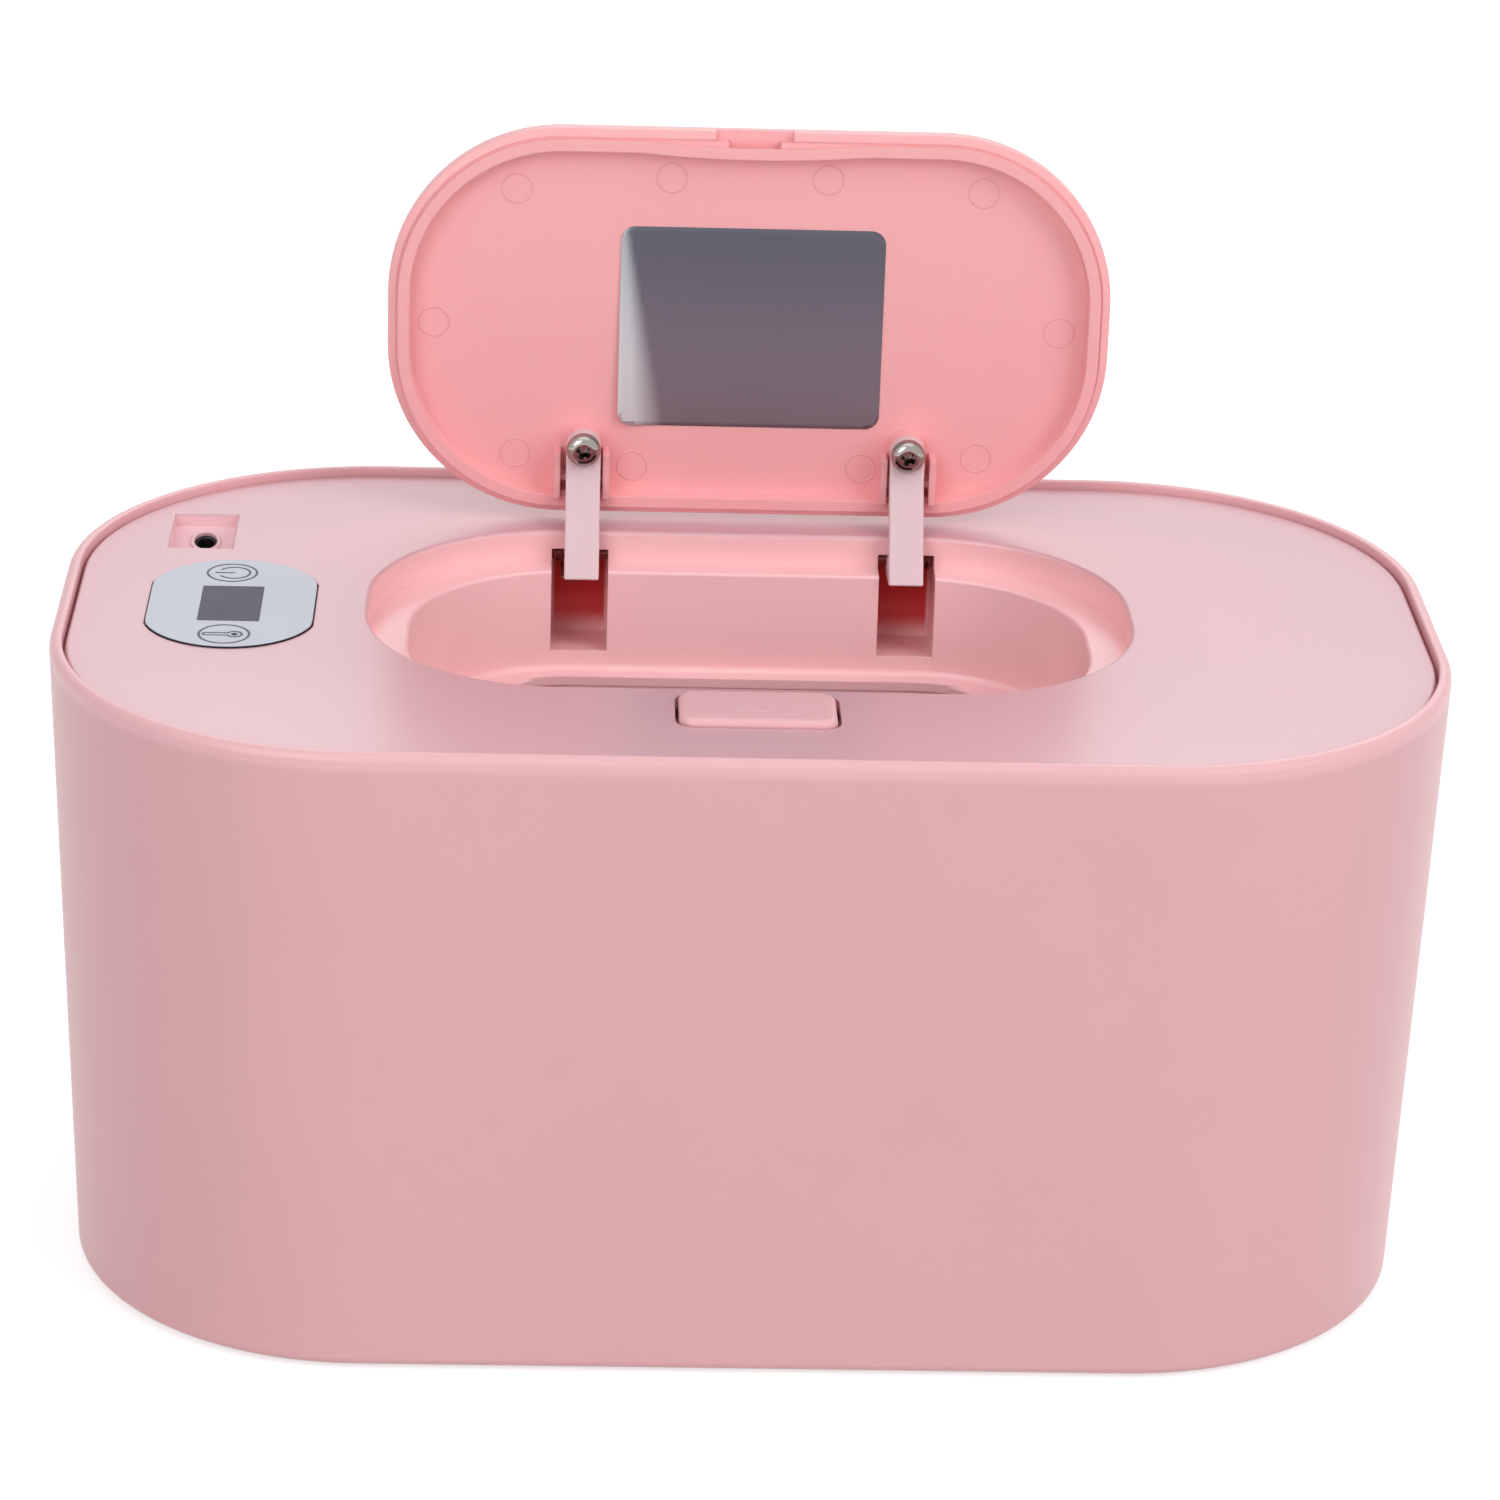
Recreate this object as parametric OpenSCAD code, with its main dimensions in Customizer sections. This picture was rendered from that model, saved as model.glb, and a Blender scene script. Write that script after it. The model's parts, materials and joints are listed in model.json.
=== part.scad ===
// Baby wipe warmer with its lid open: a drafted tub, a lift-out deck that carries the heater,
// the controls and a sprung lid on two gooseneck arms. Millimetres, Z up, the front is -Y and
// the origin is at the middle of the footprint. Depths on the deck are measured down from its top.

/* [Tub] */
// Width of the tub at its rim
body_w = 200; // [185:1:230]
// Depth of the tub at its rim, front to back
body_d = 118.4; // [114:0.5:135]
// Height of the tub from its underside to its rim
body_h = 95; // [80:1:130]
// Corner radius of the rim in plan
body_r = 45.1; // [42:0.5:52]
// How much each side leans in from the rim to the underside
draft = 2.5; // [1:0.1:4]
// Thickness of the tub's wall
wall_t = 2.2; // [1.8:0.1:2.8]
// Thickness of the tub's floor
floor_t = 2.5; // [2:0.1:4]
// Rounding of the tub's bottom edge
base_round = 1.5; // [0.8:0.1:2]
// Thickness of the rim that stands round the deck
rim_t = 1.8; // [1.4:0.1:2.2]
// Height of the rim above the deck
rim_h = 1.2; // [0.6:0.1:2]
// Rounding of the rim's outer edge
rim_round = 1.2; // [0.5:0.1:1.3]

/* [Feet] */
// Diameter of a rubber foot
foot_d = 12; // [8:0.5:16]
// How far a foot stands below the tub
foot_proud = 0.6; // [0.4:0.1:1.5]
// Depth of a foot's seat in the tub's floor
foot_sink = 1; // [0.6:0.1:1.4]
// Distance of the feet from the middle, along X
foot_x = 66; // [50:1:74]
// Distance of the feet from the middle, along Y
foot_y = 28; // [18:1:34]

/* [Deck] */
// Thickness of the deck plate and of its hidden walls
deck_t = 2; // [1.6:0.1:2.4]
// Gap between the deck's edge and the rim
deck_gap = 0.45; // [0.3:0.05:0.8]
// Gap between the deck and the shoulder that it rests on
seat_gap = 0.2; // [0.1:0.05:0.3]

/* [Well] */
// Width of the recess that takes the lid
well_w = 110.8; // [100:0.5:120]
// Depth of the recess, front to back
well_d = 63.2; // [60:0.2:66]
// Corner radius of the recess
well_r = 28; // [24:0.5:30]
// How far the recess lies behind the middle of the deck
well_y = 2; // [0:0.5:4]
// Rounding of the recess's upper edge
well_round = 0.6; // [0.4:0.1:1.5]
// Rounding of the well's edge at the ledge
ledge_round = 0.5; // [0.3:0.1:1]
// Depth of the ledge below the deck
ledge_z = 4.8; // [4.4:0.1:6]
// Width of the ledge at the ends of the recess
ledge_x = 5.8; // [4:0.1:8]
// Width of the ledge at the front and back of the recess
ledge_y = 4.3; // [3.5:0.1:6]
// Depth of the well's bottom below the deck
well_z = 20.3; // [19.5:0.1:26]
// How much the well narrows on each side from the ledge to its bottom
well_taper = 1; // [0.4:0.1:1.6]
// Width of the mouth that the wipes come through
mouth_w = 71; // [50:1:80]
// Depth of the mouth, front to back
mouth_d = 46.8; // [34:0.2:47.5]
// Corner radius of the mouth
mouth_r = 8; // [6:0.5:14]
// Height of the collar that hangs below the mouth
collar_h = 4.6; // [4.2:0.1:6]

/* [Hinge] */
// Distance of each hinge pocket from the middle
slot_x = 24.75; // [22:0.25:28]
// Width of a hinge pocket
slot_w = 8.5; // [8.4:0.1:10]
// Depth of a pocket's upper edge below the deck
slot_top = 2.9; // [2.6:0.1:3.3]
// Depth of a pocket's lower edge below the deck
slot_low = 17.3; // [16.5:0.1:18]
// Distance of the hinge axis behind the middle of the recess
axis_y = 35.4; // [35:0.1:36]
// Depth of the hinge axis below the deck
axis_z = 4.74; // [4.6:0.02:4.9]
// Diameter of the hinge pins
pin_d = 2; // [1.6:0.1:2.2]
// Radial running clearance of an arm on its pin
pin_play = 0.05; // [0.02:0.01:0.1]
// Angle at which the lid stands open
lid_open = 90; // [0:1:90]

/* [Lid] */
// Mean gap between the lid and the recess, front and back
lid_gap_y = 1.6; // [1:0.1:2]
// How far the closed lid lies in front of the middle of the recess
lid_front = 0.7; // [0.5:0.1:1]
// Gap between the lid and the recess at its ends
lid_gap_x = 1.2; // [0.8:0.1:2]
// Overall thickness of the lid
lid_t = 4.15; // [3.8:0.05:4.4]
// Thickness of the lid's plate
plate_t = 1.45; // [1.2:0.05:1.8]
// Rounding of the lid's upper edge
lid_round = 1.15; // [0.6:0.05:1.3]
// Distance of the sealing rib from the lid's edge, at the ends
rib_in_x = 1.5; // [1.2:0.1:2]
// Distance of the sealing rib from the lid's edge, mean of front and back
rib_in_y = 1.3; // [1.1:0.1:1.8]
// How far the rib's ring lies behind the lid's middle
rib_back = 0.3; // [0:0.1:0.6]
// Width of the sealing rib
rib_w = 1.75; // [1.4:0.05:2]
// How far the rib bows in at the middle of the front, to clear the latch
rib_bow = 0.8; // [0.4:0.1:1.2]
// Width over which the rib bows in
bow_w = 34; // [24:1:40]
// Width of the foil label
label_w = 40; // [30:1:50]
// Height of the foil label
label_h = 31.5; // [20:0.5:33]
// Distance of the label's middle from the lid's middle, towards the hinge
label_low = 0.8; // [0:0.1:2]
// Distance of the label's middle to the right of the middle
label_x = 0.35; // [-1:0.05:1]

/* [Arms] */
// Distance of each arm from the middle
arm_x = 24.5; // [24:0.05:25]
// Width of an arm
arm_w = 5.2; // [4.6:0.1:5.4]
// Thickness of an arm's strap
arm_t = 2; // [1.6:0.1:2.2]
// Distance of the screw from the hinge axis, along the lid
screw_out = 17.1; // [16.5:0.05:18]
// Distance of the bend next to the screw from the hinge axis
bend_out = 12.7; // [12.3:0.05:13.2]
// How far the closed arm hangs below the hinge axis at its far corner
arm_drop = 10.2; // [9.8:0.1:10.6]
// How far the screwed end of the closed arm lies below the hinge axis
eye_drop = 1.6; // [1.4:0.1:1.9]
// Diameter of an arm screw's head
head_d = 5.2; // [4:0.1:5.4]

/* [Button and latch] */
// Width of the release button
button_w = 22; // [18:0.5:23]
// Depth of the release button, front to back
button_d = 11.6; // [10.6:0.1:12]
// Gap round the button
button_gap = 0.5; // [0.3:0.05:0.7]
// How far the button stands above the deck
button_proud = 0.9; // [0.5:0.1:1.2]
// Travel of the button and of the latch
travel = 1.5; // [1:0.1:1.6]
// Width of the latch's nose
nose_w = 7.2; // [5:0.2:8]
// How far the nose reaches into the slot of the lid's rib
nose_bite = 0.6; // [0.4:0.05:0.8]

/* [Controls] */
// How far the panel lies inwards from the middle of the strip between the recess and the deck's edge
panel_in = 1.4; // [0.5:0.1:2]
// Distance of the panel in front of the socket's pocket
panel_gap = 5.8; // [5:0.1:8]
// Width of the control panel
panel_w = 24; // [22:0.2:25]
// Length of the control panel
panel_l = 35.2; // [32:0.1:36]
// Radius of the control panel's round ends
panel_r = 12.4; // [12.1:0.1:14]
// How far the panel stands above the deck
panel_proud = 0.35; // [0.2:0.05:1]
// Depth of the panel's seat in the deck
panel_sink = 0.8; // [0.5:0.1:1]
// Width of the display window
window_w = 8.9; // [7:0.1:10]
// Length of the display window
window_l = 14; // [10:0.5:15]
// Distance of the two touch keys from the panel's middle
key_y = 12.4; // [11.5:0.1:13]

/* [Supply socket] */
// Width of the socket's pocket
jack_w = 9.4; // [8.5:0.1:11]
// Distance of the pocket's middle to the left of the control panel's middle
jack_out = 6.2; // [5.5:0.1:7]
// Distance of the pocket's back edge from the deck's back edge
jack_in = 19; // [18.5:0.1:20]
// Length of the pocket, front to back
jack_l = 14.5; // [14:0.1:16]
// Depth of the pocket at its back
jack_z = 2; // [1.6:0.1:2.5]
// Slope of the pocket's floor
jack_slope = 24.5; // [20:0.5:26]
// Diameter of the hole for the socket
jack_hole = 3.5; // [3.2:0.1:4.5]
// Width of the raised ring round the hole
jack_ring = 0.5; // [0.3:0.1:0.8]
// Bore of the socket
jack_bore = 2.6; // [2.3:0.1:3]

/* [Inside] */
// Thickness of the cover under the electronics
cover_t = 2; // [1.6:0.1:2.4]
// Thickness of the cover's standing wall
skirt_t = 1.6; // [1.2:0.1:2]
// Thickness of the heat plate
heat_t = 1; // [0.8:0.1:1.2]
// Thickness of the film heater
film_t = 0.4; // [0.3:0.05:0.6]
// Thickness of the insulation
foam_t = 4; // [2:0.5:5]
// Thickness of the circuit board
board_t = 1.6; // [1.2:0.1:2]
// Width of the circuit board
board_w = 24; // [22:0.5:25]
// Length of the circuit board
board_l = 40; // [38:0.5:41]

/* [Hidden] */
$fn = 64;

pink = [0.89, 0.68, 0.70];
pale_pink = [0.90, 0.77, 0.80];
steel = [0.75, 0.75, 0.77];
close_fit = 0.1;   // between fixed pieces that meet
slide_fit = 0.3;   // between pieces that slide past each other
arc_steps = 5;     // flat steps in a small rounded edge

// heights
base_z = foot_proud;
rim_z = base_z + body_h;
deck_z = rim_z - rim_h;

// plan half sizes: the tub's rim, the deck, the recess, the well below its ledge and the mouth
hx = body_w / 2;
hy = body_d / 2;
deck_in = rim_t + deck_gap;
deck_hx = hx - deck_in;
deck_hy = hy - deck_in;
deck_r = body_r - deck_in;
well_hx = well_w / 2;
well_hy = well_d / 2;
funnel_hx = well_hx - ledge_x;
funnel_hy = well_hy - ledge_y;
funnel_r = well_r - ledge_y + 0.3;
foot_hx = funnel_hx - well_taper;
foot_hy = funnel_hy - well_taper;
shelf_t = 1.5;
shelf_z = well_z + shelf_t;
hinge_y = well_y + axis_y;

// hinge pocket, seen from the side: Y from the hinge axis
pocket_back = 3;
pocket_fall = 1.2;
pocket_wall = 1.6;

// lid, closed: Y is measured from its own middle, which lies lid_front before the recess's middle
lid_hx = well_hx - lid_gap_x;
lid_hy = well_hy - lid_gap_y;
lid_r = well_r - lid_gap_y - 0.4;
lid_core = 7;      // how far the swept edge of the lid reaches in
flange_in = 2.5;   // how far the edge's solid reaches in under the rib
rib_front = rib_in_y + rib_back;
rib_hx = lid_hx - rib_in_x;
rib_hy = lid_hy - rib_in_y;
rib_r = lid_r - (rib_in_x + rib_in_y) / 2;
lid_axis_y = axis_y + lid_front;
screw_y = lid_axis_y - screw_out;
shank_d = 2.4;

// button and latch: the pocket starts right in front of the recess's wall
wall_out = well_hy + deck_t - well_y;          // the front face of the recess's front wall, from Y 0
pocket_hx = button_w / 2 + button_gap;
pocket_hy = button_d / 2 + button_gap;
pocket_r = 2.6;
button_y = -wall_out - pocket_hy;
button_wall = 1.2;
button_top = 1.5;
button_foot = 5;
lip_z = 3.35;      // the lid's catch lies below this depth, and the nose above it
nose_h = 0.9;
slide_top = 7.8;
slide_t = 1.6;
slide_hx = pocket_hx + slide_fit + 1;
slide_front = 6.2;
slide_back = 4.4;
spring_l = 6;
wedge_x = 6;
wedge_w = 2;
rail_w = 1.6;

// inside
cover_in = 1.9;
cover_hx = deck_hx - cover_in;
cover_hy = deck_hy - cover_in;
cover_r = deck_r - cover_in;
cover_top = shelf_z + close_fit;
cover_low = cover_top + cover_t;
film_low = cover_low + film_t;
heat_in = 9;
collar_t = 1.5;
boss_r = 3.2;
cover_screw_x = cover_hx - cover_r - 10;
cover_screw_at = [for (sx = [-1, 1]) each [[sx * (cover_hx - 5), 0],
    [sx * cover_screw_x, cover_hy - 7], [sx * cover_screw_x, 7 - cover_hy]]];
board_top = deck_t + 3;
board_low = board_top + board_t;
board_screw_at = [for (sy = [-1, 1]) [0, sy * (board_l / 2 - 2.4)]];
foot_at = [for (sx = [-1, 1], sy = [-1, 1]) [sx * foot_x, sy * foot_y]];
panel_x = (well_hx + deck_hx) / 2 - panel_in;
jack_x = panel_x + jack_out;
jack_back = deck_hy - jack_in;
jack_front = jack_back - jack_l;
jack_at = jack_back - 3;
panel_y = jack_front - panel_gap - panel_l / 2;
jack_wall = 1.5;
jack_edge = 1.7;   // how far the socket's housing stays inside the deck's edge
jack_body_d = 6.2;
jack_body_l = 5.8;
ring_h = 0.3;

// ---- building blocks ----

// A rounded rectangle with half sizes ax and ay.
module rounded(ax, ay, r) {
    square([2 * ax, 2 * (ay - r)], center = true);
    square([2 * (ax - r), 2 * ay], center = true);
    for (sx = [-1, 1], sy = [-1, 1]) translate([sx * (ax - r), sy * (ay - r)]) circle(r);
}

module plate(ax, ay, r, top, t) translate([0, 0, -top - t]) linear_extrude(t) rounded(ax, ay, r);

// Sweeps a profile round a rounded rectangle: the profile's X is measured outwards from it.
module swept(ax, ay, r) {
    for (side = [0:3]) {
        out = side % 2 == 0 ? ax : ay;
        run = 2 * ((side % 2 == 0 ? ay : ax) - r);
        rotate([0, 0, 90 * side]) {
            translate([out, run / 2, 0]) rotate([90, 0, 0]) linear_extrude(run) children();
            translate([out - r, run / 2, 0]) rotate_extrude(angle = 90) translate([r, 0]) children();
        }
    }
}

// Points of a quarter round from angle a to angle b about a centre.
function arc(cx, cy, r, a, b) =
    [for (i = [0:arc_steps]) let (t = a + (b - a) * i / arc_steps) [cx + r * cos(t), cy + r * sin(t)]];

// A profile drawn in Y and Z, extruded along X and centred on x.
module side_cut(x, w, points) translate([x - w / 2, 0, 0]) rotate([90, 0, 90])
    linear_extrude(w) polygon(points);

function unit(v) = v / norm(v);
function heading(p, i) = unit(p[min(i + 1, len(p) - 1)] - p[max(i - 1, 0)]);

// A tube of radius r along the points p, with n sides. The first side faces along start.
module tube(p, r, n, start) {
    side = [for (i = 0, s = start; i < len(p); i = i + 1,
                 s = i < len(p) ? unit(s - (s * heading(p, i)) * heading(p, i)) : s) s];
    rings = [for (i = [0:len(p) - 1])
             let (h = heading(p, i), u = unit(side[i] - (side[i] * h) * h), v = cross(h, u))
             each [for (k = [0:n - 1]) p[i] + r * (cos(360 * k / n) * u + sin(360 * k / n) * v)]];
    walls = [for (i = [0:len(p) - 2], k = [0:n - 1]) let (a = i * n + k, b = i * n + (k + 1) % n)
             each [[a, a + n, b + n], [a, b + n, b]]];
    ends = [[for (k = [0:n - 1]) k], [for (k = [n - 1:-1:0]) (len(p) - 1) * n + k]];
    polyhedron(points = rings, faces = concat(walls, ends), convexity = 4);
}

function helix(r, pitch, turns, steps) =
    [for (i = [0:turns * steps]) [r * cos(360 * i / steps), r * sin(360 * i / steps), pitch * i / steps]];

// A pan head screw that points along +Z from under its head: the head is below z 0.
module pan_screw(d, head, tall, shank) {
    difference() {
        union() {
            rotate_extrude() polygon(concat([[0, 0], [head / 2, 0]],
                [for (i = [0:arc_steps]) let (t = 90 * i / arc_steps)
                    [head / 2 - tall * 0.8 * (1 - cos(t)), -tall * 0.2 - tall * 0.8 * sin(t)]], [[0, -tall]]));
            cylinder(h = shank, d = d);
        }
        for (a = [0, 90]) rotate([0, 0, a])
            translate([-head * 0.27, -head * 0.06, -tall - 1]) cube([head * 0.54, head * 0.12, 1 + tall * 0.6]);
    }
}

// ---- the tub ----

// The tub's outer face at height z, measured outwards from the rim's plan.
function lean(z) = -draft * (1 - (z - base_z) / body_h);

tub_reach = 14;    // how far the swept wall takes in the floor
shoulder_in = deck_in + 1.2;
shoulder_z = deck_z - deck_t - seat_gap;

module body_shell() color(pink) difference() {
    union() {
        swept(hx, hy, body_r) polygon(concat(
            [[-tub_reach, base_z]],
            arc(lean(base_z + base_round) - base_round, base_z + base_round, base_round, -90, 0),
            arc(-rim_round, rim_z - rim_round, rim_round, 0, 90),
            arc(-rim_t + 0.3, rim_z - 0.3, 0.3, 90, 180),
            [[-rim_t, shoulder_z], [-shoulder_in, shoulder_z], [-shoulder_in, shoulder_z - 2.4],
             [lean(shoulder_z - 6) - wall_t, shoulder_z - 6],
             [lean(base_z + floor_t + 1.5) - wall_t, base_z + floor_t + 1.5],
             [lean(base_z + floor_t) - wall_t - 1.5, base_z + floor_t],
             [-tub_reach, base_z + floor_t]]));
        translate([0, 0, base_z]) linear_extrude(floor_t)
            rounded(hx - tub_reach + 1, hy - tub_reach + 1, body_r - tub_reach + 1);
    }
    for (p = foot_at) translate([p.x, p.y, base_z - 1]) cylinder(h = 1 + foot_sink, d = foot_d + 2 * close_fit);
}

module rubber_feet() color([0.25, 0.25, 0.26]) for (p = foot_at) translate([p.x, p.y, 0])
    rotate_extrude() polygon(concat([[0, 0]], arc(foot_d / 2 - 0.5, 0.5, 0.5, -90, 0),
        [[foot_d / 2, foot_proud + foot_sink - close_fit], [0, foot_proud + foot_sink - close_fit]]));

// ---- the deck ----

module on_deck() translate([0, 0, deck_z]) children();
module on_well() translate([0, well_y, deck_z]) children();

module deck_plate() difference() {
    union() {
        swept(deck_hx, deck_hy, deck_r) polygon(concat([[-6, -deck_t], [0, -deck_t]],
            arc(-0.4, -0.4, 0.4, 0, 90), [[-6, 0]]));
        plate(deck_hx - 5, deck_hy - 5, deck_r - 5, 0, deck_t);
    }
    translate([0, well_y, 0]) plate(well_hx + 5, well_hy + 5, well_r + 5, -1, deck_t + 2);
}

// The recess's wall, its ledge, the tapered well and the shelf round the mouth.
module well() translate([0, well_y, 0]) {
    swept(well_hx, well_hy, well_r) polygon(concat([[6, -deck_t], [6, 0]],
        arc(well_round, -well_round, well_round, 90, 180),
        [[0, -ledge_z - deck_t], [deck_t, -ledge_z - deck_t], [deck_t, -deck_t]]));
    difference() {
        plate(well_hx + 1, well_hy + 1, well_r + 1, ledge_z, deck_t);
        plate(funnel_hx + 2, funnel_hy + 2, funnel_r + 2, ledge_z - 1, deck_t + 2);
    }
    swept(funnel_hx, funnel_hy, funnel_r) polygon(concat([[3, -ledge_z - deck_t], [3, -ledge_z]],
        arc(ledge_round, -ledge_z - ledge_round, ledge_round, 90, 180),
        arc(-well_taper - 1, -well_z + 1, 1, 0, -90),
        [[-well_taper - 3, -well_z], [-well_taper - 3, -shelf_z], [deck_t - well_taper, -shelf_z],
         [deck_t, -ledge_z - deck_t]]));
    difference() {
        plate(foot_hx - 2, foot_hy - 2, funnel_r - 3, well_z, shelf_t);
        plate(mouth_w / 2 + 2, mouth_d / 2 + 1, mouth_r + 1, well_z - 1, shelf_t + 2);
    }
    swept(mouth_w / 2, mouth_d / 2, mouth_r) polygon(concat([[2.5, -shelf_z], [2.5, -well_z]],
        arc(0.6, -well_z - 0.6, 0.6, 90, 180),
        [[0, -well_z - collar_h], [collar_t, -well_z - collar_h], [collar_t, -shelf_z]]));
}

// Y and Z of the hinge pocket's inside: its mouth is the slot in the wall of the well.
pocket_in = [[hinge_y - 13, -slot_low], [well_y + funnel_hy - well_taper, -slot_low],
             [hinge_y + pocket_back, -slot_low - pocket_fall], [hinge_y + pocket_back, -deck_t],
             [well_y + well_hy + deck_t + close_fit, -deck_t],
             [well_y + well_hy + deck_t + close_fit, -slot_top], [hinge_y - 13, -slot_top]];
pocket_out = [[well_y + funnel_hy + 1, -slot_low - pocket_wall],
              [hinge_y + pocket_back + pocket_wall, -slot_low - pocket_fall - pocket_wall],
              [hinge_y + pocket_back + pocket_wall, -deck_t + close_fit],
              [well_y + well_hy + 1, -deck_t + close_fit], [well_y + well_hy + 1, -ledge_z - 0.4],
              [well_y + funnel_hy + 1, -ledge_z - 0.4]];

module along_pin(x, r, l) translate([x, hinge_y, -axis_z]) rotate([0, 90, 0])
    cylinder(h = l, r = r, center = true);

// Rails under the deck carry the latch, with a stop for its spring.
module latch_rails() {
    for (s = [-1, 1]) side_cut(s * (slide_hx + slide_fit + rail_w / 2), rail_w,
        [[button_y - slide_front, -deck_t + close_fit], [button_y - slide_front, -slide_top - slide_t - 2],
         [button_y + slide_back - 1, -slide_top - slide_t - 2],
         [button_y + slide_back - 1, -deck_t + close_fit]]);
    for (s = [-1, 1]) side_cut(s * (slide_hx + slide_fit / 2), slide_fit + 2 * rail_w,
        [[button_y - slide_front, -slide_top - slide_t - close_fit],
         [button_y - slide_front, -slide_top - slide_t - 2],
         [button_y + slide_back - 1, -slide_top - slide_t - 2],
         [button_y + slide_back - 1, -slide_top - slide_t - close_fit]]);
    side_cut(0, 9, [[button_y - slide_front - spring_l - 1.5, -deck_t + close_fit],
        [button_y - slide_front - spring_l - 1.5, -slide_top - 4],
        [button_y - slide_front - spring_l, -slide_top - 4],
        [button_y - slide_front - spring_l, -deck_t + close_fit]]);
}

module button_pocket() translate([0, button_y, 0]) difference() {
    swept(pocket_hx, pocket_hy, pocket_r) polygon(concat([[1.5, -deck_t], [1.5, 0]],
        arc(0.5, -0.5, 0.5, 90, 180), [[0, -deck_t]]));
    translate([-pocket_hx, pocket_hy, -deck_t - 1]) cube([2 * pocket_hx, deck_t, deck_t + 2]);
}

jack_floor = -jack_z - (jack_back - jack_at) * tan(jack_slope);
jack_foot = jack_z + jack_l * tan(jack_slope);
jack_lean = jack_wall / cos(jack_slope);

// The socket's pocket has an open top and a floor that slopes down to the front.
module jack_housing() side_cut(-jack_x, jack_w + 2 * jack_wall,
    [[jack_front - jack_wall, -deck_t + close_fit],
     [jack_front - jack_wall, -jack_foot - jack_lean - jack_wall * tan(jack_slope)],
     [jack_back + jack_wall, -jack_z - jack_lean + jack_wall * tan(jack_slope)],
     [jack_back + jack_wall, -deck_t + close_fit]]);
module jack_space() side_cut(-jack_x, jack_w,
    [[jack_front, 1], [jack_front, -jack_foot], [jack_back, -jack_z], [jack_back, 1]]);

// Puts its children at the socket: their Z is square to the sloped floor and 0 is its surface.
module at_jack() on_deck() translate([-jack_x, jack_at, jack_floor])
    rotate([jack_slope, 0, 0]) children();

module panel_outline(grow) intersection() {
    square([panel_w + 2 * grow, panel_l + 2 * grow], center = true);
    union() {
        for (s = [-1, 1]) translate([0, s * (panel_l / 2 - panel_r)]) circle(panel_r + grow);
        square([2 * (panel_r + grow), panel_l - 2 * panel_r], center = true);
    }
}
module at_panel() on_deck() translate([-panel_x, panel_y, 0]) children();

// Stiffening ribs under the free side of the deck and beside the well.
module deck_ribs() {
    for (y = [-1, 0, 1]) translate([well_hx + 1, well_y + y * (well_hy - 8) - 0.6, -ledge_z - 3])
        cube([deck_hx - well_hx - 9, 1.2, ledge_z + 3 - deck_t + close_fit]);
    for (x = [-1, 1], s = [-1, 1]) let (near = s * well_y + well_hy - 2, far = deck_hy - 8)
        translate([x * (well_hx - 9.4) - 0.6, s > 0 ? near : -far, -ledge_z - 3])
            cube([1.2, far - near, ledge_z + 3 - deck_t + close_fit]);
}

module top_deck() {
    color(pale_pink) difference() {
        union() {
            on_deck() difference() {
                union() {
                    difference() {
                        union() {
                            deck_plate();
                            well();
                        }
                        translate([0, button_y, 0]) plate(pocket_hx, pocket_hy, pocket_r, -1, deck_t + 2);
                    }
                    button_pocket();
                    for (s = [-1, 1]) side_cut(s * slot_x, slot_w + 2 * pocket_wall, pocket_out);
                    intersection() {
                        jack_housing();
                        plate(deck_hx - jack_edge, deck_hy - jack_edge, deck_r - jack_edge, -1, shelf_z);
                    }
                    latch_rails();
                    deck_ribs();
                    for (p = cover_screw_at) translate([p.x, p.y, -shelf_z])
                        cylinder(h = shelf_z - 1, r = boss_r);
                    for (p = board_screw_at) translate([p.x - panel_x, p.y + panel_y, -board_top])
                        cylinder(h = board_top - 1.1, r = 2.2);
                }
                for (s = [-1, 1]) side_cut(s * slot_x, slot_w, pocket_in);
                for (s = [-1, 1]) along_pin(s * slot_x, pin_d / 2, slot_w + 4 * pocket_wall);
                jack_space();
                translate([-nose_w / 2 - slide_fit, -wall_out - 0.2, -lip_z - 0.3])
                    cube([nose_w + 2 * slide_fit, deck_t + 0.4, nose_h + 0.7]);
                for (p = cover_screw_at) translate([p.x, p.y, -shelf_z - 1]) cylinder(h = 14, d = shank_d);
                for (p = board_screw_at) translate([p.x - panel_x, p.y + panel_y, -board_top - 1])
                    cylinder(h = 3.6, d = 1.6);
            }
            at_jack() translate([0, 0, -jack_wall / 2])
                cylinder(h = jack_wall / 2 + ring_h, d1 = jack_hole + 2 * jack_ring + 1, d2 = jack_hole + 2 * jack_ring);
        }
        at_panel() {
            translate([0, 0, -panel_sink - 0.05]) linear_extrude(deck_t) panel_outline(0.15);
            translate([0, 0, -deck_t / 2]) cube([window_w + 1.4, window_l + 1.4, 2 * deck_t], center = true);
            for (s = [-1, 1]) translate([0, s * key_y, -deck_t - 1]) cylinder(h = 2 * deck_t, d = 5.4);
        }
        at_jack() translate([0, 0, -8]) cylinder(h = 9, d = jack_hole);
    }
}

// ---- under the deck ----

module cover_holes(r, top, t) for (p = cover_screw_at)
    translate([p.x, p.y, -top - t - 1]) cylinder(h = t + 2, r = r);
module mouth_hole(grow, top, t) translate([0, well_y, 0])
    plate(mouth_w / 2 + grow, mouth_d / 2 + grow, mouth_r + grow, top - 1, t + 2);

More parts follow.
